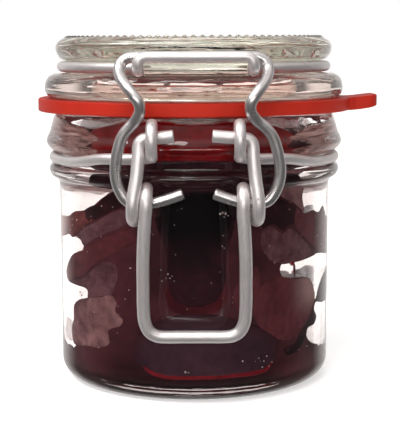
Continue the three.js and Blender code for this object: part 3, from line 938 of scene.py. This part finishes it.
def packed_core():
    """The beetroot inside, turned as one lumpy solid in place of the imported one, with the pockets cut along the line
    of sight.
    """
    prof = [(0, FLOOR + 0.15), (26.5, FLOOR + 0.15), (29.5, FLOOR + 1.6), (31.2, FLOOR + 4.5), (31.4, 12),
            (31.4, 64.2), (30.0, 65.2), (20, 64.4), (8, 63.8), (0, 64.0)]
    v, f = lathe(divided(prof, 2.0), 128)
    body = mesh_object("beet_core_raw", v, f, [])
    cutters = []
    for name, outline in POCKETS.items():
        front, behind = pocket_edges(outline)
        rows = [[], [], [], [], []]
        for (a, z), (a2, z2) in zip(front, behind):
            x, y = CONTACT * math.sin(a), -CONTACT * math.cos(a)
            inset = math.copysign(1.6, -x)
            for row, yy, xx in zip(rows, (-46.0, y, 0.0, -y, 46.0), (x, x, x + inset, x + 0.4 * inset, x + 0.4 * inset)):
                row.append((xx, yy, z + SLOPE * (yy - y)))
        side = math.copysign(46.0, front[0][0])
        for row in rows:
            first, last = row[0], row[-1]
            row.append((side, last[1], last[2]))
            row.append((side, first[1], first[2]))
        n = len(rows[0])
        verts = [q for row in rows for q in row]
        faces = [tuple(range(n)), tuple(range(5 * n - 1, 4 * n - 1, -1))]
        for k in range(4):
            faces += [(k * n + i, (k + 1) * n + i, (k + 1) * n + (i + 1) % n, k * n + (i + 1) % n) for i in range(n)]
        cut = mesh_object("cut_" + name, verts, faces, [], smooth=False)
        bm_fix(cut)
        cutters.append(cut)
        m = body.modifiers.new(name, "BOOLEAN")
        m.operation = "DIFFERENCE"
        m.solver = "EXACT"
        m.object = cut
    m = body.modifiers.new("remesh", "REMESH")
    m.mode = "VOXEL"
    m.voxel_size = 0.8 * MM
    m.adaptivity = 0.0
    bpy.context.view_layer.update()
    deps = bpy.context.evaluated_depsgraph_get()
    me = bpy.data.meshes.new_from_object(body.evaluated_get(deps), depsgraph=deps)
    for c in cutters + [body]:
        bpy.data.objects.remove(c)
    co = np.zeros(len(me.vertices) * 3)
    me.vertices.foreach_get("co", co)
    co = co.reshape(-1, 3) / MM
    no = np.zeros(len(me.vertices) * 3)
    me.vertices.foreach_get("normal", no)
    no = no.reshape(-1, 3)
    r = np.hypot(co[:, 0], co[:, 1])
    high = co[:, 2] > 58
    around = np.abs(np.arctan2(co[:, 0], -co[:, 1]))
    dip = np.array([smoothstep(0.80, 1.15, q) * smoothstep(2.45, 2.1, q) for q in around]) * np.clip((r - 16) / 12, 0, 1)
    co[high, 2] -= (4.6 * dip * np.clip((co[:, 2] - 58) / 5, 0, 1))[high]
    for i in np.nonzero((r < 30.9) & (co[:, 2] > 9.0))[0]:
        x, y, z = co[i]
        soft = min(1.0, (30.9 - r[i]) / 1.5)
        co[i] += no[i] * (0.8 * wobble(x, y, z * 1.6, 7.0) + 0.3 * wobble(x, y, z, 2.6)) * soft
    me.vertices.foreach_set("co", (co * MM).ravel())
    me.update()
    me.materials.append(WET)
    me.polygons.foreach_set("use_smooth", np.ones(len(me.polygons), bool))
    for key in ("fade", "ring"):
        me.attributes.new(key, "FLOAT", "POINT")
    ring_values = np.array([18.0 * wobble(x, y, z, 16.0) for x, y, z in co], np.float32)
    me.attributes["ring"].data.foreach_set("value", ring_values)
    ob = bpy.data.objects.new("beet_core", me)
    bpy.context.scene.collection.objects.link(ob)
    return ob


def bm_fix(ob):
    import bmesh
    bm = bmesh.new()
    bm.from_mesh(ob.data)
    bmesh.ops.triangulate(bm, faces=[f for f in bm.faces if len(f.verts) > 4])
    bmesh.ops.recalc_face_normals(bm, faces=bm.faces)
    bm.to_mesh(ob.data)
    bm.free()


ARC = (CONTACT - WALL_IN + INNER_CORNER) * math.pi / 2     # length round the inner corner
S_CORNER = FLOOR + INNER_CORNER


def on_profile(p, depth):
    """The inside of the jar: up the wall, round the bottom corner and in along the floor."""
    a, sv = p[0] / CONTACT, p[1]
    rho = CONTACT - WALL_IN + INNER_CORNER
    cr, cz = CONTACT - rho, FLOOR - (CONTACT - WALL_IN) + rho
    if sv >= cz:
        r, z = CONTACT - depth, sv
    elif sv >= cz - ARC:
        t = (cz - sv) / ARC * math.pi / 2
        r, z = cr + (rho - depth) * math.cos(t), cz - (rho - depth) * math.sin(t)
    else:
        r, z = cr - (cz - ARC - sv), cz - rho + depth
    return (r * math.sin(a), -r * math.cos(a), z)


def packed_skin():
    """The juice and slices pressed on the glass: a thick sheet round the jar, with the pockets left out."""
    half = math.pi * CONTACT
    grid = 1.15
    low = S_CORNER - ARC - 5.0

    def top(u):
        a = u / CONTACT
        side = smoothstep(0.80, 1.15, abs(a)) * smoothstep(2.45, 2.1, abs(a))
        return (68.6 - 2.0 * smoothstep(0.5, 2.6, abs(a)) - 5.4 * side + 0.5 * math.sin(3 * a + 1.0)
                + 0.4 * math.sin(7 * a) + 0.3 * math.sin(13 * a + 2))

    us = np.linspace(-half, half, int(2 * half / 0.9) + 1)
    seam_z = np.arange(low + 1.0, top(half) - 0.5, grid)
    loops = [[(u, low) for u in us] + [(half, z) for z in seam_z]
             + [(u, top(u)) for u in us[::-1]] + [(-half, z) for z in seam_z[::-1]]]
    holes = []
    for outline in POCKETS.values():
        front, behind = pocket_edges(outline)
        holes.append(np.array([(a * CONTACT, z) for a, z in front] + [(a * CONTACT, z) for a, z in behind[::-1]]))
    pts, edges, segs = [], [], []
    for k, loop in enumerate(loops + [list(map(tuple, h)) for h in holes]):
        base = len(pts)
        pts += loop
        n = len(loop)
        for i in range(n):
            edges.append((base + i, base + (i + 1) % n))
            p, q = loop[i], loop[(i + 1) % n]
            if not (abs(p[0]) > half - 0.01 and abs(q[0]) > half - 0.01 and abs(p[0] - q[0]) < 0.01):
                segs.append((p, q))
    segs = np.array(segs)

    def far(points):
        best = np.full(len(points), 1e9)
        for p, q in segs:
            d = q - p
            t = np.clip(((points - p) @ d) / max(1e-12, d @ d), 0, 1)
            best = np.minimum(best, np.linalg.norm(points - (p + t[:, None] * d), axis=1))
        return best

    inner = []
    for j, y in enumerate(np.arange(low + 0.8, 71, grid * 0.9)):
        off = grid / 2 if j % 2 else 0
        inner += [(x, y) for x in np.arange(-half + 0.7 + off, half - 0.7, grid)]
    inner = np.array(inner)
    keep = inner[:, 1] < np.array([top(u) for u in inner[:, 0]])
    for h in holes:
        keep &= ~inside(h, inner)
    inner = inner[keep]
    inner = inner[far(inner) > 0.75]
    extra = []
    for h in holes:
        tang = np.roll(h, -1, axis=0) - np.roll(h, 1, axis=0)
        nrm = np.stack([-tang[:, 1], tang[:, 0]], 1)
        nrm /= np.maximum(1e-9, np.linalg.norm(nrm, axis=1))[:, None]
        area = np.sum(h[:, 0] * np.roll(h[:, 1], -1) - np.roll(h[:, 0], -1) * h[:, 1])
        nrm *= -1 if area > 0 else 1
        for off in (0.12, 0.34):
            cand = h + nrm * off
            ok = ~inside(h, cand)
            cand = cand[ok]
            extra.append(cand[far(cand) > off * 0.8])
    allp = np.concatenate([np.array(pts)] + extra + [inner])
    got = geometry.delaunay_2d_cdt([Vector(q) for q in allp], edges, [], 1, 1e-4)
    uv = np.array([tuple(q) for q in got[0]])
    tris = np.array([tuple(t) for t in got[2]])
    mid = uv[tris].mean(axis=1)
    keep = mid[:, 1] < np.array([top(u) for u in mid[:, 0]]) + 1e-3
    for h in holes:
        keep &= ~inside(h, mid)
    tris = tris[keep]
    d = far(uv)
    verts, faces, outer, info = pillow_of(uv, tris, d, on_profile, 3.0, 0.45, 1.5)
    mats = [0 if o else 1 for o in outer]
    for i, (face, o) in enumerate(zip(faces, outer)):
        if o and max(info[j][2] for j in face) < 0.30 and info[face[0]][1] > 12:
            mats[i] = 1
    skin = mesh_object("beet_skin", verts, faces, [FLESH["juice"], WET], True, mats)
    attr = skin.data.attributes.new("fade", "FLOAT", "POINT")
    attr.data.foreach_set("value", np.array([
        0.85 * smoothstep(12.5, 7.5, z) * smoothstep(52, 30, abs(math.degrees(math.atan2(x, -y)))) for x, y, z in verts],
        np.float32))
    attr = skin.data.attributes.new("ring", "FLOAT", "POINT")
    attr.data.foreach_set("value", np.array([14.0 * wobble(x, y, z, 15.0) for x, y, z in verts], np.float32))
    import bmesh
    bm = bmesh.new()
    bm.from_mesh(skin.data)
    bmesh.ops.remove_doubles(bm, verts=bm.verts, dist=2e-6)
    bm.to_mesh(skin.data)
    bm.free()
    return skin


def pillow_of(uv, tris, d, place, thick, rim_out, rim_in):
    rim = d < 1e-3

    def rise(dist, width):
        u = np.clip(dist / width, 0, 1)
        return np.sqrt(np.clip(1 - (1 - u) ** 2, 0, 1))

    mid = thick / 2
    out_depth = mid - mid * rise(d, rim_out)
    in_depth = mid + mid * rise(d, rim_in)
    verts = [place(q, h) for q, h in zip(uv, out_depth)]
    info = [(q[0], q[1], dd) for q, dd in zip(uv, d)]
    lower = {}
    for i, (q, h) in enumerate(zip(uv, in_depth)):
        if rim[i]:
            lower[i] = i
        else:
            lower[i] = len(verts)
            verts.append(place(q, h))
            info.append((q[0], q[1], d[i]))
    faces, outer = [], []
    for t in tris:
        a, b, c = (uv[i] for i in t)
        ccw = (b[0] - a[0]) * (c[1] - a[1]) - (b[1] - a[1]) * (c[0] - a[0]) > 0
        t = tuple(t) if ccw else (t[0], t[2], t[1])
        if all(rim[i] for i in t):
            continue
        faces.append(t)
        outer.append(True)
        faces.append((lower[t[0]], lower[t[2]], lower[t[1]]))
        outer.append(False)
    return verts, faces, outer, info


core = packed_core()
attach(core, "jar")
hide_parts("beetroot")
skin = packed_skin()
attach(skin, "jar")
slices = Heap()


def edge_fade(start, end, amount):
    """Paler towards the side of the jar, from angle start to end in degrees: painted light shining through the thin
    flesh there.
    """
    def fade(a, z, d):
        return amount * smoothstep(start, end, abs(math.degrees(a)))
    return fade


# behind the neck: a red layer over a near-black one; the red layer is dark beetroot with the rubber ring's red light
# painted on, seen through the neck glass, and the near-black one is painted shade
wall_slice(slices, [(rad(d), z) for d, z in ((-44, 63.4), (-20, 62.9), (-4, 63.3), (14, 62.8), (36, 63.2),
                                             (46, 64.6), (49, 66.0), (44, 67.6), (36, 69.4), (18, 70.6), (0, 70.3),
                                             (-20, 70.8), (-38, 69.6), (-48, 67.6), (-50, 65.2))],
           "painted_ring_red", 33.62, 2.2, lambda a, z, d: 0.8 * smoothstep(36, 50, abs(math.degrees(a))), raw=True)
# the near-black layer under it: painted shade
wall_slice(slices, [(rad(d), z) for d, z in ((-46, 55.6), (-30, 54.8), (-10, 54.2), (12, 54.2), (32, 54.8), (46, 55.8),
                                             (50, 58.6), (42, 61.6), (20, 62.5), (-2, 62.6), (-26, 62.3), (-44, 61.4),
                                             (-50, 58.8))], "painted_dark", 33.66, 2.6, raw=True)
# front left
wall_slice(slices, [(85, 209), (95, 203.8), (103, 197), (112, 190), (123, 187), (131, 196), (124, 206.5), (113, 211.5),
                    (103, 216.4), (94, 221), (87, 222), (84, 215)], "black", 33.76, 2.4)
wall_slice(slices, [(60, 219.5), (68, 215), (74, 211), (83, 209.6), (92, 206), (95, 203), (103, 196.2), (112, 189.5),
                    (123, 186), (130, 196), (124, 206), (113, 211), (103, 216), (95, 221), (85, 226),
                    (77, 234), (73, 238), (69, 235), (65, 236), (58, 238)], "brown",
           33.72, 3.2, edge_fade(64, 84, 0.75))
wall_slice(slices, [(77, 234), (85, 226), (95, 221), (103, 216), (114, 210.5), (127, 209), (131, 222), (118, 230),
                    (103, 236), (95, 240), (83, 246), (80, 240.5), (76.5, 237.5)], "purple", 33.64, 2.4)
wall_slice(slices, [(83, 246), (95, 240), (103, 236), (116, 231), (132, 226), (138, 240), (124, 250), (110, 256),
                    (103.6, 260), (93, 267), (84, 276), (76, 278.5), (68, 281), (66, 272), (67, 265),
                    (69, 259), (72, 254), (77, 251), (82, 249)], "maroon", 33.68, 3.4, edge_fade(66, 82, 0.35))
wall_slice(slices, [(68, 281), (76, 278.5), (84, 276), (93, 267), (103.6, 260), (114, 262), (119, 273),
                    (116, 286), (112.5, 295), (100, 298), (87, 298), (86.5, 290), (78, 286.5), (72, 284)],
           "purple", 33.62, 2.0)
wall_slice(slices, [(78, 299.5), (87, 297.5), (100, 296.5), (112, 295), (117, 303), (115.6, 311), (123, 320),
                    (120.5, 326.5), (109, 331), (109.4, 344), (100, 348.4), (88.4, 346.6), (74, 344.4),
                    (72.3, 340), (71.4, 325), (73, 320), (73.4, 305)], "pale", 33.70, 1.6,
           edge_fade(62, 74, 0.45))
# front right
wall_slice(slices, [(286, 181), (298, 178), (304, 186), (303, 197), (304.7, 211.9), (292.6, 204), (284, 199.3),
                    (277, 192), (279, 184)], "pale", 33.60, 1.6)
wall_slice(slices, [(256, 190), (270, 192), (284, 199.3), (292.6, 203.9), (298, 208), (296, 216), (295, 224),
                    (288.6, 226.8), (282.9, 231.7), (272.6, 225), (264, 229), (254, 222), (250, 204)],
           "black", 33.70, 3.0)
wall_slice(slices, [(293, 204.5), (304.7, 211.9), (313.3, 209), (318.2, 211), (322.8, 204.4), (325.3, 215), (331, 222),
                    (331, 250), (325, 254), (319.6, 252), (311, 246.3), (305.3, 239.5), (299.5, 233.7),
                    (295, 229), (292, 218)], "maroon", 33.66, 3.2, edge_fade(76, 92, 0.3))
wall_slice(slices, [(262, 228), (272.6, 225), (282.9, 231.7), (288.6, 226.8), (295, 229), (299.5, 233.7),
                    (305.3, 239.5), (311, 246.3), (317, 252.5), (302.9, 261), (291.3, 263.8), (282.5, 265),
                    (270, 262), (260, 248)], "purple", 33.60, 2.6)
# paler towards the right-hand pocket: painted light shining through the thin flesh there
wall_slice(slices, [(281, 276.3), (297, 277.5), (309, 277), (313.8, 286.8), (315, 298), (308, 318), (299, 331),
                    (288, 341), (268, 337), (252, 318), (254, 292), (268, 279)], "maroon", 33.64, 3.4,
           lambda a, z, d: 0.7 * smoothstep(*[math.degrees(wall(px, 290)[0]) for px in (286, 312)],
                                            math.degrees(a)) * smoothstep(wall(300, 322)[1], wall(300, 288)[1], z))
wall_slice(slices, [(323.6, 271.6), (331, 272), (331, 296), (325, 300), (321, 303), (315.5, 303), (314.2, 308),
                    (316.4, 316), (314.2, 324), (307.5, 329), (306.6, 334), (302, 345), (288, 356),
                    (281, 349), (294, 342), (300, 330), (308, 319), (315, 299), (318, 288)],
           "black", 33.74, 3.0, edge_fade(78, 92, 0.5))
# lower middle
# a red band along the bottom: painted light, the light that comes in through the edge of the glass base
wall_slice(slices, [(145, 371.5), (160, 378.6), (200, 380.0), (232, 378.6), (267, 371.5), (272, 362), (262, 350),
                    (230, 345), (180, 345), (150, 350), (140, 362)],
           "red", 33.60, 2.2)
wall_slice(slices, [(143, 368), (160, 376), (200, 378), (232, 376), (266, 369), (277, 355), (279, 340),
                    (268, 330), (236, 318), (196, 312), (160, 318), (140, 330), (132, 346), (133, 359)],
           "slate", 33.66, 2.4, lambda a, z, d: 0.9 * smoothstep(4.0, 0.0, d) * smoothstep(9.0, 13.0, z))
# a red drop and its thread in the right-hand pocket
wall_slice(slices, [(291, 259), (293.4, 257.5), (295, 260), (294.6, 264.5), (292.6, 266), (291, 264)], "red",
           33.56, 1.0, step=0.15)
wall_slice(slices, [(294.0, 264), (295.1, 264), (295.2, 277), (294.2, 277)], "maroon", 33.54, 0.5, step=0.15)
# middle, behind the lever
# a red glow under the dark middle: painted light
wall_slice(slices, [(163, 284), (180, 292), (196, 294), (212, 292), (229, 282), (230, 296), (221, 311), (196, 317.5),
                    (171, 313), (161, 298)], "glow", 33.56, 2.0)
# a near-black sheet in the middle, darkest at its top: a painted dark reflection of the dark front
wall_slice(slices, [(154, 190), (176, 186), (214, 186), (238, 192), (236, 226), (229, 250), (226, 286), (217, 303),
                    (196, 309), (176, 304), (167, 288), (164, 250), (155, 226)], "painted_dark", 33.64, 3.0,
           lambda a, z, d: smoothstep(wall(195, 270)[1], wall(195, 226)[1], z) * smoothstep(0.0, 3.0, d))
wall_slice(slices, [(116, 266), (132, 256), (150, 262), (164, 286), (168, 312), (154, 324), (136, 320), (124, 304),
                    (118, 284)], "juice", 33.58, 2.6)
wall_slice(slices, [(232, 290), (244, 272), (258, 264), (262, 284), (250, 306), (236, 314)],
           "maroon", 33.57, 2.6)

# more slices round the sides and back, and up in the neck
rng = random.Random(11)
KINDS = ["maroon", "black", "purple", "slate", "brown", "maroon", "black"]
for k in range(16):
    a0 = rad(151 + 58 * ((k * 0.618) % 1.0))
    z0 = 12 + 46 * ((k * 0.377 + 0.15) % 1.0)
    ra, rb = rng.uniform(5, 9.0), rng.uniform(5, 8.5)
    tilt = rng.uniform(-0.9, 0.9)
    pts = []
    for i in range(9):
        t = 2 * math.pi * i / 9
        q = rng.uniform(0.8, 1.15)
        dx, dz = rb * q * math.cos(t), ra * q * math.sin(t)
        x = dx * math.cos(tilt) - dz * math.sin(tilt)
        z = dx * math.sin(tilt) + dz * math.cos(tilt)
        pts.append((a0 + x / CONTACT, min(63.0, max(8.5, z0 + z))))
    wall_slice(slices, pts, KINDS[k % len(KINDS)], 33.56 + 0.025 * (k % 7), rng.uniform(2.2, 3.4), raw=True)
slices.build("beet_slices")


# ------------------------------------------------------------------ top of the heap
def flat_slice(heap, centre, radius, thick, tilt, spin, flesh, seed):
    g = random.Random(seed)
    pts = []
    for i in range(10):
        t = 2 * math.pi * i / 10
        q = radius * g.uniform(0.86, 1.08)
        pts.append((q * math.cos(t), q * math.sin(t) * 0.9))
    outline = smooth_closed(pts, 0.7)
    rot = Matrix.Rotation(spin, 3, "Z") @ Matrix.Rotation(tilt, 3, "X")
    c = Vector(centre)

    def place(p, depth):
        sag = 0.5 * noise.noise(Vector((p[0] / 7 + seed, p[1] / 7, 1.0)))
        q = c + rot @ Vector((p[0], p[1], -depth + sag))
        r = math.hypot(q.x, q.y)
        if r > 33.0:
            q.x *= 33.0 / r
            q.y *= 33.0 / r
        return (q.x, q.y, q.z)

    verts, faces, outer, info = pillow(outline, place, thick, 1.2, 1.2, 1.0)
    m = heap.slot(FLESH_WET[flesh])
    heap.add(verts, faces, [m] * len(faces), [0.15 * smoothstep(2.0, 0.0, d) for u, v, d in info],
             [math.hypot(u, v) * 1.9 for u, v, d in info])


FLESH_WET = {
    "a": beet("beet_wet_a", srgb("#4a1620"), srgb("#7a2c38"), srgb("#a06a6c"), 0.5, 0.2, 0.22),
    "b": beet("beet_wet_b", srgb("#3a1018"), srgb("#5e2029"), srgb("#8a5054"), 0.5, 0.2, 0.22),
}
heap = Heap()
for k, (x, y, z, r, t, s) in enumerate([
        (-14, 10, 65.3, 15, 0.10, 0.3), (14, 12, 65.0, 15, -0.12, 1.1), (0, -15, 65.2, 15.5, 0.09, 2.0),
        (-19, -9, 65.9, 12.5, 0.16, 2.9), (18, -9, 66.0, 13, -0.14, 4.0), (2, 2, 66.7, 14, 0.07, 5.0),
        (-5, 20, 66.2, 12, 0.12, 0.9), (9, -20, 66.2, 11.5, -0.1, 3.4)]):
    flat_slice(heap, (x, y, z), r, 3.0, t, s, "ab"[k % 2], 40 + k)
heap.build("beet_top_slices")


# ------------------------------------------------------------------ bubbles, coloured as painted glints
def bubbles():
    m, nt, p = principled("bubble_glint")
    tone = noise_tex(nt, 900.0, 1.0, 0.5)
    # near-white: the specks are painted highlights, standing for light caught by bubbles
    c = ramp(nt, tone.outputs["Fac"], [(0.35, srgb("#b79a9c")), (0.6, srgb("#f2e8e6"))])
    nt.links.new(c, p.inputs["Base Color"])
    p.inputs["Roughness"].default_value = 0.25
    g = random.Random(5)
    spots = [(73, 219, .2), (77, 220, .22), (73, 225, .25), (70, 230, .2), (102, 206, .16), (113, 207, .15),
             (151, 232, .16), (153, 234.5, .18), (223, 235.5, .24), (222, 246, .2), (161, 270, .18), (162, 281, .15),
             (174, 281, .15), (168, 274, .22), (170, 278, .2), (172, 276, .16), (166, 278, .16), (185, 372, .3),
             (188, 372.5, .22), (242, 361, .2), (266, 356, .2), (271, 362, .2), (261.5, 367, .22), (258, 358, .18),
             (263, 361, .24), (268, 366, .2), (316.5, 235.5, .24), (322, 222, .2), (323, 233, .2), (321, 244, .2),
             (129, 290, .16), (130, 268, .14), (131, 268, .16), (224, 248, .16), (211, 283, .14), (67, 345, .16),
             (94, 312, .15), (80, 292, .3), (82, 295, .34), (84, 292, .22), (306, 346, .15), (298, 350, .14),
             # the last five make a curl of painted highlight high in the middle
             (220, 214, .30), (222.5, 212.8, .28), (225.5, 213.6, .30), (228, 215.6, .26), (224, 217, .20)]
    verts, faces = [], []
    phi = (1 + 5 ** 0.5) / 2
    ico_v = [Vector(v).normalized() for v in
             ((-1, phi, 0), (1, phi, 0), (-1, -phi, 0), (1, -phi, 0), (0, -1, phi), (0, 1, phi),
              (0, -1, -phi), (0, 1, -phi), (phi, 0, -1), (phi, 0, 1), (-phi, 0, -1), (-phi, 0, 1))]
    ico_f = [(0, 11, 5), (0, 5, 1), (0, 1, 7), (0, 7, 10), (0, 10, 11), (1, 5, 9), (5, 11, 4), (11, 10, 2),
             (10, 7, 6), (7, 1, 8), (3, 9, 4), (3, 4, 2), (3, 2, 6), (3, 6, 8), (3, 8, 9), (4, 9, 5),
             (2, 4, 11), (6, 2, 10), (8, 6, 7), (9, 8, 1)]
    placed = [(wall(px, py), s) for px, py, s in spots]
    for k in range(150):
        a = rad(g.uniform(-180, 180))
        z = g.uniform(9, 62)
        placed.append(((a, z), g.uniform(0.06, 0.16)))
    for (a, z), s in placed:
        base = len(verts)
        c = Vector((33.78 * math.sin(a), -33.78 * math.cos(a), z))
        squash = g.uniform(0.7, 1.3)
        for q in ico_v:
            verts.append(tuple(c + Vector((q.x * s, q.y * s, q.z * s * squash))))
        faces += [tuple(i + base for i in t) for t in ico_f]
    ob = mesh_object("beet_bubbles", verts, faces, [m])
    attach(ob, "jar")


bubbles()

def stains():
    """Thin films of juice and threads of flesh on the glass of the clear pockets."""
    m, nt, p = principled("beet_film")
    cloud = noise_tex(nt, 260.0, 3.0, 0.6)
    nt.links.new(ramp(nt, cloud.outputs["Fac"], [(0.3, srgb("#b08484")), (0.7, srgb("#cfaaa6"))]),
                 p.inputs["Base Color"])
    p.inputs["Roughness"].default_value = 0.5
    p.inputs["Specular IOR Level"].default_value = 0.1
    p.inputs["Alpha"].default_value = 0.35
    deep, nt, p = principled("beet_film_deep")
    tc = nt.nodes.new("ShaderNodeTexCoord")
    lines = node(nt, "ShaderNodeMapping")
    lines.inputs["Scale"].default_value = (1.0, 1.0, 9.0)
    nt.links.new(tc.outputs["Object"], lines.inputs["Vector"])
    cloud = noise_tex(nt, 130.0, 3.0, 0.6, 0.3, lines.outputs["Vector"])
    nt.links.new(ramp(nt, cloud.outputs["Fac"], [(0.36, srgb("#8e4440")), (0.62, srgb("#e6c4bc"))]),
                 p.inputs["Base Color"])
    p.inputs["Roughness"].default_value = 0.5
    p.inputs["Specular IOR Level"].default_value = 0.1
    p.inputs["Alpha"].default_value = 0.48
    film = Heap()
    film.slot(m)
    film.slot(deep)
    for outline in (
            [(62, 176), (84, 178), (106, 180), (110, 187), (103, 193.6), (84, 191), (62, 187)],
            [(66, 318), (73, 322), (73, 338), (70, 341), (66, 334)],
            [(302, 184), (326, 179), (326, 186), (312, 191), (303, 192)],
            [(-128, 66.0), (-104, 65.2), (-84, 65.8), (-60, 63.4), (-42, 65.4), (-50, 68.2), (-72, 69.4), (-92, 70.2),
             (-112, 69.4), (-130, 69.8)],
            [(130, 66.6), (112, 65.0), (90, 65.6), (62, 63.6), (42, 65.6), (52, 68.0), (76, 68.8), (96, 70.3),
             (116, 69.2), (132, 69.6)]):
        raw = outline[0][1] < 71
        if raw:
            pts = [(rad(d) * CONTACT, z) for d, z in outline]
        else:
            pts = [(wall(px, py)[0] * CONTACT, wall(px, py)[1]) for px, py in outline]
        verts, faces, outer, info = pillow(smooth_closed(pts, 0.5), on_wall(33.72 if raw else 33.47), 0.16, 0.2, 0.2, 0.8)
        film.add(verts, faces, [int(raw)] * len(faces), [0.0] * len(verts), [0.0] * len(verts))
    film.build("beet_film")


stains()

# ------------------------------------------------------------------ stage and light
floor_mat, nt, p = principled("floor_pale")
p.inputs["Base Color"].default_value = (0.80, 0.80, 0.80, 1)
p.inputs["Roughness"].default_value = 0.9
p.inputs["Specular IOR Level"].default_value = 0.1
p.inputs["Emission Color"].default_value = (1, 1, 1, 1)
p.inputs["Emission Strength"].default_value = 0.52
v = [(0, 0, -0.05)]
f = []
for ri, r in enumerate((60, 120, 260, 600, 1500, 4000)):
    for i in range(64):
        a = 2 * math.pi * i / 64
        v.append((r * math.cos(a), r * math.sin(a), -0.05))
for i in range(64):
    f.append((0, 1 + i, 1 + (i + 1) % 64))
for ri in range(5):
    for i in range(64):
        a, b = 1 + ri * 64, 1 + (ri + 1) * 64
        j = (i + 1) % 64
        f.append((a + i, b + i, b + j, a + j))
floor = mesh_object("floor", v, f, [floor_mat])
floor.visible_glossy = False

world = bpy.data.worlds.new("studio")
bpy.context.scene.world = world
world.use_nodes = True
nt = world.node_tree
bg = nt.nodes["Background"]
tc = nt.nodes.new("ShaderNodeTexCoord")
sep = nt.nodes.new("ShaderNodeSeparateXYZ")
nt.links.new(tc.outputs["Generated"], sep.inputs[0])
# a pale tent: darker towards the front, brighter at the two sides, greyish above
direction = tc.outputs["Generated"]
flat = nt.nodes.new("ShaderNodeCombineXYZ")
nt.links.new(sep.outputs["X"], flat.inputs["X"])
nt.links.new(sep.outputs["Y"], flat.inputs["Y"])
unit = node(nt, "ShaderNodeVectorMath", operation="NORMALIZE")
nt.links.new(flat.outputs[0], unit.inputs[0])
unit_sep = nt.nodes.new("ShaderNodeSeparateXYZ")
nt.links.new(unit.outputs[0], unit_sep.inputs[0])


def band(source, lo, hi, start, end):
    m = node(nt, "ShaderNodeMapRange")
    m.interpolation_type = "SMOOTHSTEP"
    for k, val in (("From Min", lo), ("From Max", hi), ("To Min", start), ("To Max", end)):
        m.inputs[k].default_value = val
    nt.links.new(source, m.inputs["Value"])
    return m.outputs["Result"]


def maths(op, a, b):
    m = node(nt, "ShaderNodeMath", operation=op)
    for sock, val in zip(m.inputs, (a, b)):
        if isinstance(val, bpy.types.NodeSocket):
            nt.links.new(val, sock)
        else:
            sock.default_value = val
    return m.outputs[0]


def towards(vector, lo, hi, amount):
    dot = node(nt, "ShaderNodeVectorMath", operation="DOT_PRODUCT")
    nt.links.new(direction, dot.inputs[0])
    dot.inputs[1].default_value = Vector(vector).normalized()
    return band(dot.outputs["Value"], lo, hi, 0.0, amount)


dark_front = maths("MAXIMUM", band(unit_sep.outputs["Y"], 0.42, 0.86, 0.05, 1.0),
                   band(unit_sep.outputs["Y"], -0.30, 0.42, 0.05, 0.20))
overhead = band(sep.outputs["Z"], 0.20, 0.70, 0.0, 1.0)
dark_front = maths("MAXIMUM", dark_front, overhead)
low_back = maths("MULTIPLY", band(sep.outputs["Y"], -0.1, 0.5, 0.0, 1.0), band(sep.outputs["Z"], 0.08, 0.40, 1.0, 0.0))
level = maths("ADD", 0.62, maths("MULTIPLY", low_back, 0.34))
level = maths("ADD", level, towards((-0.62, -0.45, 0.64), 0.66, 0.97, 0.45))
level = maths("ADD", level, towards((0.62, -0.45, 0.64), 0.66, 0.97, 0.15))
level = maths("ADD", level, towards((0.05, 0.0, 1.0), 0.70, 0.98, 0.3))
level = maths("MULTIPLY", level, dark_front)
tone = nt.nodes.new("ShaderNodeCombineColor")
for k, tint in (("Red", 1.0), ("Green", 0.97), ("Blue", 0.95)):
    nt.links.new(maths("MULTIPLY", level, tint), tone.inputs[k])
path = nt.nodes.new("ShaderNodeLightPath")
seen = mixed(nt, tone.outputs["Color"], (1.0, 1.0, 1.0), path.outputs["Is Camera Ray"])
nt.links.new(seen, bg.inputs["Color"])
bg.inputs["Strength"].default_value = 1.0


def area(name, place, size, power, colour=(1, 1, 1)):
    data = bpy.data.lights.new(name, "AREA")
    data.shape = "RECTANGLE"
    data.size, data.size_y = size
    data.energy = power
    data.color = colour
    ob = bpy.data.objects.new(name, data)
    bpy.context.scene.collection.objects.link(ob)
    ob.location = place
    ob.rotation_euler = (Vector((0, 0, 0.045)) - Vector(place)).to_track_quat("-Z", "Y").to_euler()
    return ob


area("light_front", (-0.05, -0.88, 0.245), (0.74, 0.17), 2.3, (1.0, 0.985, 0.97))
area("light_key", (-0.24, -0.40, 0.78), (0.50, 0.34), 3.9, (1.0, 0.985, 0.97))
area("light_left", (-0.56, -0.17, 0.74), (0.30, 0.30), 3.0, (1.0, 0.985, 0.97))

scene = bpy.context.scene
scene.view_settings.view_transform = "Standard"
scene.view_settings.look = "None"
scene.cycles.max_bounces = 24
scene.cycles.transmission_bounces = 20
scene.cycles.glossy_bounces = 8
scene.cycles.diffuse_bounces = 4
scene.cycles.blur_glossy = 0.2
scene.cycles.sample_clamp_indirect = 8.0
